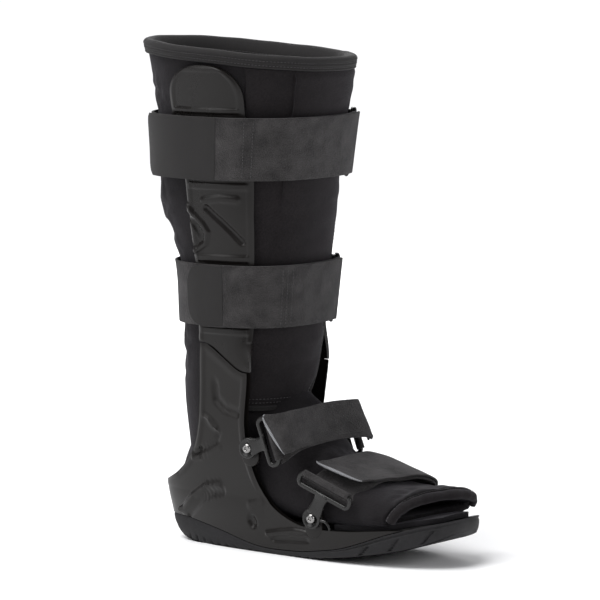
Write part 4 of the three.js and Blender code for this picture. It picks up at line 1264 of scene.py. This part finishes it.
def strap_wave(height, angle, up):
    """Small unevenness of worn webbing, out from the leg."""
    low = noise.noise(Vector((angle * 2.2, up * 0.02, height)))
    edge = abs(up - height) / (STRAP_WIDTH / 2)
    return 0.45 * low + 0.5 * edge ** 3 * noise.noise(Vector((angle * 3.4, 4 if up > height else 9, height)))


def band_way(height, up):
    """The inner layer: sewn round the far bar, back round the leg and up to the near bar."""
    centre, half = math.radians(RING_ANGLE), ring_half(height)
    start, turn = centre + half, 2 * (math.pi - half)
    steps = 150
    places = []
    for step in range(steps + 1):
        angle = start + turn * step / steps
        out = 1.1 + strap_wave(height, angle, up) * smooth(step, 0, 12) * smooth(steps - step, 0, 12)
        places.append(on_band(angle, up, out))
    places += round_bar(height, up, -1, -90, 90)
    back = 20
    for step in range(1, back + 1):
        angle = centre - half - math.radians(13) * step / back
        places.append(on_band(angle, up, mix(RING_MIDDLE + BEND, 3.5, smooth(step, 0, 10))))
    return places


def rounded_end(height, up, tab):
    """The angle at which a strap's rounded end lies at a height."""
    share = clamp(abs(up - height) / (STRAP_WIDTH / 2))
    round_off = STRAP_WIDTH / 2 * 0.62 * (1 - math.sqrt(max(0.0, 1 - (0.985 * share) ** 3.2)))
    return math.radians(tab) - round_off / leg_half_depth(height)


def strap_way(height, up, tab):
    """The outer run: out of the ring round the near bar, over the shin and round to the rounded tab."""
    start = math.radians(RING_ANGLE) + ring_half(height)
    end = rounded_end(height, up, tab)
    places = round_bar(height, up, 1, 262, 90)
    steps = 150
    for step in range(1, steps + 1):
        angle = mix(start, end, step / steps)
        past = smooth(step, 0.72 * steps, steps)
        out = mix(RING_MIDDLE + BEND, 3.75, smooth(step, 0, 9)) + strap_wave(height + 7, angle,
            up) * smooth(step, 4, 20)
        places.append(on_band(angle, up, out + 1.0 * past))
    return places


def ribbon(way, height, rows=16, width=None):
    """A sheet whose rows follow way(up) from the strap's lower edge to its upper edge."""
    width = width or STRAP_WIDTH
    ways = [way(height + (row / rows - 0.5) * width) for row in range(rows + 1)]
    count = len(ways[0]) - 1
    middle = ways[rows // 2]
    length = sum((middle[i + 1] - middle[i]).length for i in range(count)) / MM
    gone = [0.0]
    for i in range(count):
        gone.append(gone[-1] + (middle[i + 1] - middle[i]).length / MM)
    bm = sheet(count, rows, lambda across, along: ways[round(along * rows)][round(across * count)], (length,
        width),
               hub=at(0, -16, height))
    layer = bm.loops.layers.uv["cloth"]
    for face in bm.faces:
        for corner in face.loops:
            uv = corner[layer].uv
            corner[layer].uv = (gone[round(uv.x / length * count)], uv.y)
    return bm, length


def ring_wire(height):
    seat, upward, along, outward = ring_axes(height)
    long, wide, corner = STRAP_WIDTH + 2 * GAP + RING_WIRE, RING_WIDTH - RING_WIRE, 3.0
    path = []
    for x, y, begin in ((1, 1, 0), (-1, 1, 90), (-1, -1, 180), (1, -1, 270)):
        for step in range(7):
            turn = math.radians(begin + 15 * step)
            spot_up = x * (long / 2 - corner) + corner * math.cos(turn)
            spot_along = y * (wide / 2 - corner) + corner * math.sin(turn)
            path.append(seat + upward * spot_up * MM + along * spot_along * MM)
    full = []
    for index, spot in enumerate(path):
        ahead = path[(index + 1) % len(path)]
        steps = 12 if (ahead - spot).length > 4 * MM else 1
        full += [spot.lerp(ahead, step / steps) for step in range(steps)]
    return tube(full, 1.7, closed=True, sides=16, up_hint=outward)


for name, height, tab, sewn, tab_end in CALF_STRAPS:
    band, band_length = ribbon(lambda up: band_way(height, up), height)
    band_piece = finished(name + "_calf_band_webbing", band, PILE, 1.9, 0.7, offset=0,
        sharp=40,
                          replaces=(name + "_calf_band",))
    run, run_length = ribbon(lambda up: strap_way(height, up, tab), height)
    run_piece = finished(name + "_calf_strap_webbing", run, PILE, 1.9, 0.7, offset=0,
        sharp=40,
                         replaces=(name + "_calf_strap",))
    finished(name + "_calf_ring_wire", ring_wire(height), FITTING,
        replaces=(name + "_calf_ring",))
    rows = []
    for angle in sewn:
        line = [on_band(math.radians(angle), height + (step / 30 - 0.5) * (STRAP_WIDTH - 5),
            4.85) for step in range(31)]
        rows.append(stitches(line, from_leg, 2.8, 2.0, 0.65, 0.1))
    finished(name + "_calf_strap_stitches", joined(*rows), THREAD)

    # the hook tab sewn on the free end: a smoother cloth laid over the pile
    def tab_way(up):
        end = rounded_end(height, up, tab + 0.6)
        places = []
        for step in range(91):
            angle = mix(math.radians(tab_end), end, step / 90)
            past = smooth(angle, mix(start_angle, math.radians(tab), 0.72), math.radians(tab))
            out = 3.75 + strap_wave(height + 7, angle, up) + 1.0 * past + 0.95
            places.append(on_band(angle, up, out))
        return places

    start_angle = math.radians(RING_ANGLE) + ring_half(height)
    hook, hook_length = ribbon(tab_way, height, width=STRAP_WIDTH + 0.6)
    hook_piece = finished(name + "_calf_strap_tab", hook, HOOK_TAB, 0.7, 0.3, offset=0,
        sharp=40)

# Ankle and forefoot straps, their loops and rivets

ANKLE_FRONT = [
    (-0.43, 0.297, 0.293, 0.35, 0.22), (0, 0.3, 0.296, 0.354, 0.223), (0.43, 0.312, 0.295, 0.375, 0.223),
    (0.73, 0.314, 0.292, 0.39, 0.22), (0.97, 0.272, 0.281, 0.345, 0.208),
]
ANKLE_UNDER = [(-0.97, 0.212, 0.277, 0.283, 0.187), (-0.78, 0.275, 0.285, 0.335, 0.212)] + ANKLE_FRONT
ANKLE_OVER = [
    (-1.12, 0.208, 0.286, 0.325, 0.211), (-1.09, 0.28, 0.289, 0.35, 0.215), (-0.8, 0.297, 0.292, 0.355,
        0.221),
] + ANKLE_FRONT
FOREFOOT_FRONT = [
    (-0.4, 0.43, 0.192, 0.65, 0.159), (0, 0.444, 0.196, 0.684, 0.16), (0.4, 0.467, 0.194, 0.717, 0.159),
    (0.78, 0.519, 0.175, 0.717, 0.144), (0.97, 0.49, 0.145, 0.684, 0.119),
]
FOREFOOT_UNDER = [(-0.97, 0.375, 0.152, 0.585, 0.115), (-0.78, 0.4, 0.168, 0.61, 0.134)] + FOREFOOT_FRONT
FOREFOOT_OVER = [(-0.83, 0.396, 0.19, 0.618, 0.16), (-0.62, 0.412, 0.19, 0.63, 0.16)] + FOREFOOT_FRONT
LOOPS = [  # name, side, aim and tilt in degrees, rivet's forward and up, way to the slot, slot's length
    ("ankle_loop_right", -1, 19, -69, 27, 91, 23, 36), ("ankle_loop_left", 1, 8, -69, 27, 91, 23, 36),
    ("forefoot_loop_right", -1, 62, -20, 90, 36, 28, 50), ("forefoot_loop_left", 1, 33, -20, 90, 36, 28, 50),
]
LUG_RADIUS = 9
LOOP_BAR = 4
LOOP_SLOT = 6
LOOP_THICKNESS = 3


def loop_face(forward, up):
    return wall_side(forward + LUG_RADIUS, up + LUG_RADIUS) + GAP


def strap_edges(rows, face):
    rear = [at(row[0] * face, row[1] * TOE_REACH, row[2] * RIM_HEIGHT) for row in rows]
    front = [at(row[0] * face, row[3] * TOE_REACH, row[4] * RIM_HEIGHT) for row in rows]
    return rear, front


def on_strap(rows, face, across, along, lift):
    rear, front = strap_edges(rows, face)

    def spot(place, part):
        return along_points(rear, place).lerp(along_points(front, place), part)

    step = 0.01
    width = along_points(front, across) - along_points(rear, across)
    way = spot(min(across + step, 1), along) - spot(max(across - step, 0), along)
    outward = width.cross(way).normalized()
    return spot(across, along) + outward * lift * MM, outward


def foot_ribbon(rows, face, lift, start, end, columns=90, across_rows=14, corner=0.0, wave=0.4, seed=0.0):
    """A strap over the foot between two shares of its way; corner rounds its free end."""
    def place(across, along):
        edge = abs(2 * along - 1)
        back = corner * (1 - math.sqrt(max(0.0, 1 - (0.985 * edge) ** 4)))
        share = mix(start + back, end, across)
        uneven = wave * noise.noise(Vector((share * 7, along * 2.4, seed)))
        curl = 0.5 * edge ** 4 * noise.noise(Vector((share * 9, along * 5, seed + 5)))
        return on_strap(rows, face, share, along, lift + uneven + curl)[0]

    bm = sheet(columns, across_rows, place, (120, 40), hub=at(0, 40, 60))
    middle = [place(step / columns, 0.5) for step in range(columns + 1)]
    length = sum((middle[i + 1] - middle[i]).length for i in range(columns)) / MM
    layer = bm.loops.layers.uv["cloth"]
    for face_ in bm.faces:
        for corner_ in face_.loops:
            uv = corner_[layer].uv
            corner_[layer].uv = (uv.x / 120 * length, uv.y)
    return bm, length


def loop_middle(loop):
    name, side, aim, tilt, forward, up, reach, slot = loop
    turn = math.radians(aim)
    return forward + reach * math.cos(turn), up + reach * math.sin(turn)


def loop_spot(loop, x, y, out=LOOP_THICKNESS / 2):
    """A place on a loop: x along its slot, y across it, away from the rivet, out from its inner face."""
    name, side, aim, tilt, forward, up, reach, slot = loop
    middle_forward, middle_up = loop_middle(loop)
    turn = math.radians(tilt)
    face = loop_face(forward, up)
    return at(side * (face + out), middle_forward + x * math.cos(turn) - y * math.sin(turn),
              middle_up + x * math.sin(turn) + y * math.cos(turn))


def loop_frame(loop):
    name, side, aim, tilt, forward, up, reach, slot = loop
    long, wide = slot + 2 * GAP + LOOP_BAR, LOOP_SLOT + LOOP_BAR
    corner = 4.2
    spots = []
    for x, y, begin in ((1, 1, 0), (-1, 1, 90), (-1, -1, 180), (1, -1, 270)):
        for step in range(9):
            turn = math.radians(begin + 11.25 * step)
            spots.append((x * (long / 2 - corner) + corner * math.cos(turn),
                y * (wide / 2 - corner) + corner * math.sin(turn)))
    path = []
    for index, (x, y) in enumerate(spots):
        next_x, next_y = spots[(index + 1) % len(spots)]
        steps = 14 if math.hypot(next_x - x, next_y - y) > 3 else 1
        for step in range(steps):
            path.append(loop_spot(loop, mix(x, next_x, step / steps), mix(y, next_y, step / steps)))
    return tube(path, LOOP_BAR / 2, closed=True, sides=20, flat=0.78, up_hint=Vector((1, 0, 0)), power=3.2)


def loop_lug(loop):
    """The round lug under the rivet and the arm from it to the slot's frame."""
    name, side, aim, tilt, forward, up, reach, slot = loop
    face = loop_face(forward, up)
    bm = bmesh.new()
    bmesh.ops.create_cone(bm, cap_ends=True, segments=48, radius1=LUG_RADIUS * MM, radius2=LUG_RADIUS * MM,
                          depth=LOOP_THICKNESS * MM)
    caps = [face_ for face_ in bm.faces if len(face_.verts) > 8]
    bmesh.ops.inset_region(bm, faces=caps, thickness=2.4 * MM, depth=0.0)
    bmesh.ops.inset_region(bm, faces=caps, thickness=0.5 * MM, depth=-0.5 * MM)
    rims = [edge for edge in bm.edges if edge.is_manifold and edge.calc_face_angle(0) > 1.2]
    bmesh.ops.bevel(bm, geom=rims, offset=0.6 * MM, offset_type="OFFSET", affect="EDGES", segments=3,
        profile=0.5,
                    material=-1)
    bmesh.ops.rotate(bm, verts=bm.verts, cent=(0, 0, 0), matrix=Matrix.Rotation(math.pi / 2, 3, "Y"))
    bmesh.ops.translate(bm, verts=bm.verts, vec=at(side * (face + LOOP_THICKNESS / 2), forward, up))
    gone = math.radians(aim)
    arm_path = []
    for step in range(13):
        share = mix(0.12, 0.86, step / 12)
        arm_path.append(at(side * (face + LOOP_THICKNESS / 2), forward + reach * share * math.cos(gone),
                           up + reach * share * math.sin(gone)))
    arm = tube(arm_path, lambda share: mix(7.6, 6.0, smooth(share, 0, 0.6)) + 2.0 * smooth(share, 0.7, 1),
        sides=24,
               flat=0.235, up_hint=Vector((1, 0, 0)), power=4)
    return joined(bm, arm)


def loop_prong(loop):
    """The thin curved prong below a forefoot loop's lug."""
    name, side, aim, tilt, forward, up, reach, slot = loop
    face = loop_face(forward, up)
    points = [at(side * (face + 1.5), forward + f, up + u) for f, u in ((9, -1), (13, -1.5), (16.5, -4),
        (18.5, -8.5))]
    path = [along_points(points, step / 16) for step in range(17)]
    return tube(path, lambda share: 1.5 - 0.6 * share, sides=12)


def loop_wrap(loop, toward, rows=12):
    """The strap's end sewn round the loop's bar on the foot's side."""
    name, side, aim, tilt, forward, up, reach, slot = loop
    bar = toward * (LOOP_SLOT + LOOP_BAR) / 2

    def place(across, along):
        x = (along - 0.5) * (slot - 1)
        turn = math.radians(mix(-200, 110, across))
        radius = 2.9
        y = bar + toward * radius * math.cos(turn) * 0.98
        return loop_spot(loop, x, y, LOOP_THICKNESS / 2 + radius * 0.85 * math.sin(turn))

    return sheet(36, rows, place, (18, slot), hub=loop_spot(loop, 0, bar))


def rivet(loop):
    name, side, aim, tilt, forward, up, reach, slot = loop
    head = loop_face(forward, up) + LOOP_THICKNESS
    profile = [(0.0, 0.7), (1.1, 0.7), (1.35, 0.9), (1.5, 1.75), (1.9, 2.15), (2.6, 2.1), (3.4, 1.7), (3.95,
        1.1), (4.2, 0.5),
               (4.2, 0.1), (3.9, 0.0), (2.0, 0.0), (2.0, -LOOP_THICKNESS - SHELL_WALL), (0.0,
                   -LOOP_THICKNESS - SHELL_WALL)]
    bm = bmesh.new()
    chain = [bm.verts.new((side * (head + out) * MM, 0, across * MM)) for across, out in profile]
    edges = [bm.edges.new(pair) for pair in zip(chain, chain[1:])]
    bmesh.ops.spin(bm, geom=chain + edges, cent=(0, 0, 0), axis=(1, 0, 0), angle=2 * math.pi, steps=40,
        use_merge=True)
    bmesh.ops.remove_doubles(bm, verts=bm.verts, dist=1e-6)
    bmesh.ops.recalc_face_normals(bm, faces=bm.faces)
    bmesh.ops.translate(bm, verts=bm.verts, vec=at(0, forward, up))
    return bm


FOOT_STRAPS = [
    ("ankle", ANKLE_UNDER, ANKLE_OVER, LOOPS[0], LOOPS[1], 1, 1),
    ("forefoot", FOREFOOT_UNDER, FOREFOOT_OVER, LOOPS[2], LOOPS[3], 1, 1),
]
for name, under, over, near_loop, far_loop, near_bar, far_bar in FOOT_STRAPS:
    face = loop_face(near_loop[4], near_loop[5])
    inner, inner_length = foot_ribbon(under, face, -STRAP_THICKNESS / 2 - GAP, 0.0, 1.0, wave=0.2, seed=2.0)
    inner_piece = finished(name + "_strap_inner", inner, PILE, 1.8, 0.7, offset=0,
        sharp=40,
                           replaces=(name + "_strap_under",))
    outer, outer_length = foot_ribbon(over, face, STRAP_THICKNESS / 2, 0.0, 1.0, corner=0.06, wave=0.5,
        seed=6.0)
    outer_piece = finished(name + "_strap_outer", outer, PILE, 1.9, 0.7, offset=0,
        sharp=40,
                           replaces=(name + "_strap",))
    # the outer layer's free end is cut across; the pale cord along its lifted edge is a painted highlight
    cut = [on_strap(over, face, 0.002 + 0.06 * (1 - math.sqrt(max(0.0,
        1 - (0.985 * abs(2 * step / 24 - 1)) ** 4))),
                    step / 24, STRAP_THICKNESS * 0.72)[0] for step in range(25)]
    finished(name + "_strap_end_highlight_cord", tube(cut, lambda share: 0.5 + 0.8 * math.sin(math.pi * share),
        sides=12), PAINTED_HIGHLIGHT_EDGE)
    finished(name + "_strap_sewn_ends", joined(loop_wrap(near_loop, near_bar), loop_wrap(far_loop, far_bar)),
        PILE,
             1.6, 0.5, offset=0, sharp=40)

for loop in LOOPS:
    parts = [loop_frame(loop), loop_lug(loop)]
    if loop[0].startswith("forefoot"):
        parts.append(loop_prong(loop))
    finished(loop[0] + "_moulding", joined(*parts), FITTING, replaces=(loop[0],))
    rivet_name = loop[0].replace("loop", "rivet")
    finished(rivet_name + "_head", rivet(loop), STEEL, replaces=(rivet_name,))


def box_stitch(rows, face, start, end, low, high, lift):
    """A sewn box with a cross in it."""
    corners = [(start, low), (end, low), (end, high), (start, high), (start, low), (end, high)]
    spots = []
    for (share_a, along_a), (share_b, along_b) in zip(corners, corners[1:]):
        for step in range(12):
            part = step / 12
            spots.append(on_strap(rows, face, mix(share_a, share_b, part), mix(along_a, along_b, part),
                lift)[0])
    second = [on_strap(rows, face, mix(start, end, 1 - step / 12), mix(low, high, step / 12),
        lift)[0] for step in range(13)]

    def out(spot, index=0):
        return on_strap(rows, face, (start + end) / 2, 0.5, 0)[1]

    return joined(stitches(spots, out, 2.6, 1.9, 0.6, 0.15), stitches(second, out, 2.6, 1.9, 0.6, 0.15))


ankle_face = loop_face(27, 91)
finished("ankle_strap_stitches", box_stitch(ANKLE_OVER, ankle_face, 0.6, 0.76, 0.12, 0.88,
    STRAP_THICKNESS + 0.1), THREAD)


# Floor, camera and light

def studio():
    """A pale level floor, wide enough to fill the view."""
    bm = bmesh.new()
    bmesh.ops.create_circle(bm, cap_ends=True, segments=64, radius=60)
    bmesh.ops.translate(bm, verts=bm.verts, vec=(0, 0, -0.00005))
    bm.normal_update()
    mesh = bpy.data.meshes.new("studio_floor")
    bm.to_mesh(mesh)
    bm.free()
    floor = bpy.data.objects.new("studio_floor", mesh)
    bpy.context.scene.collection.objects.link(floor)
    mesh.materials.append(studio_paper())


def soft_sun(name, spot, strength, spread):
    light = bpy.data.lights.new(name, "SUN")
    light.energy = strength
    light.angle = math.radians(spread)
    lamp = bpy.data.objects.new(name, light)
    lamp.rotation_euler = (-Vector(spot)).to_track_quat("-Z", "Y").to_euler()
    bpy.context.scene.collection.objects.link(lamp)


def soft_light(name, spot, aim, size, watts, tint=(1, 1, 1)):
    light = bpy.data.lights.new(name, "AREA")
    light.shape = "RECTANGLE"
    light.size, light.size_y = size
    light.energy = watts
    light.color = tint
    lamp = bpy.data.objects.new(name, light)
    lamp.location = spot
    lamp.rotation_euler = (Vector(aim) - Vector(spot)).to_track_quat("-Z", "Y").to_euler()
    bpy.context.scene.collection.objects.link(lamp)


CAMERA_SPOT = Vector((-3.1353, -2.3164, 0.65))
CAMERA_AIM = Vector((0.0, -0.0385, 0.213))
view = bpy.data.cameras.new("photo_view")
view.lens = 273.8
view.sensor_width = 36.0
view.clip_start, view.clip_end = 0.1, 200.0
camera = bpy.data.objects.new("photo_view", view)
camera.location = CAMERA_SPOT
camera.rotation_euler = (CAMERA_AIM - CAMERA_SPOT).to_track_quat("-Z", "Y").to_euler()
bpy.context.scene.collection.objects.link(camera)
bpy.context.scene.camera = camera

studio()
soft_sun("sky_light", (-0.3, 0.3, 1.0), 3.15, 46)
soft_light("window_left", (-2.2, 1.0, 1.3), (0, 0, 0.25), (1.2, 1.6), 15)
soft_light("window_front", (-0.4, -2.8, 1.3), (0, 0, 0.2), (1.4, 1.2), 24)
soft_light("behind_right", (1.8, 1.4, 1.2), (0, 0, 0.2), (1.2, 1.4), 22)
world = bpy.data.worlds.new("studio_air")
world.use_nodes = True
world.node_tree.nodes["Background"].inputs["Color"].default_value = (0.95, 0.96, 1.0, 1)
world.node_tree.nodes["Background"].inputs["Strength"].default_value = 0.24
bpy.context.scene.world = world
bpy.context.scene.view_settings.view_transform = "Standard"
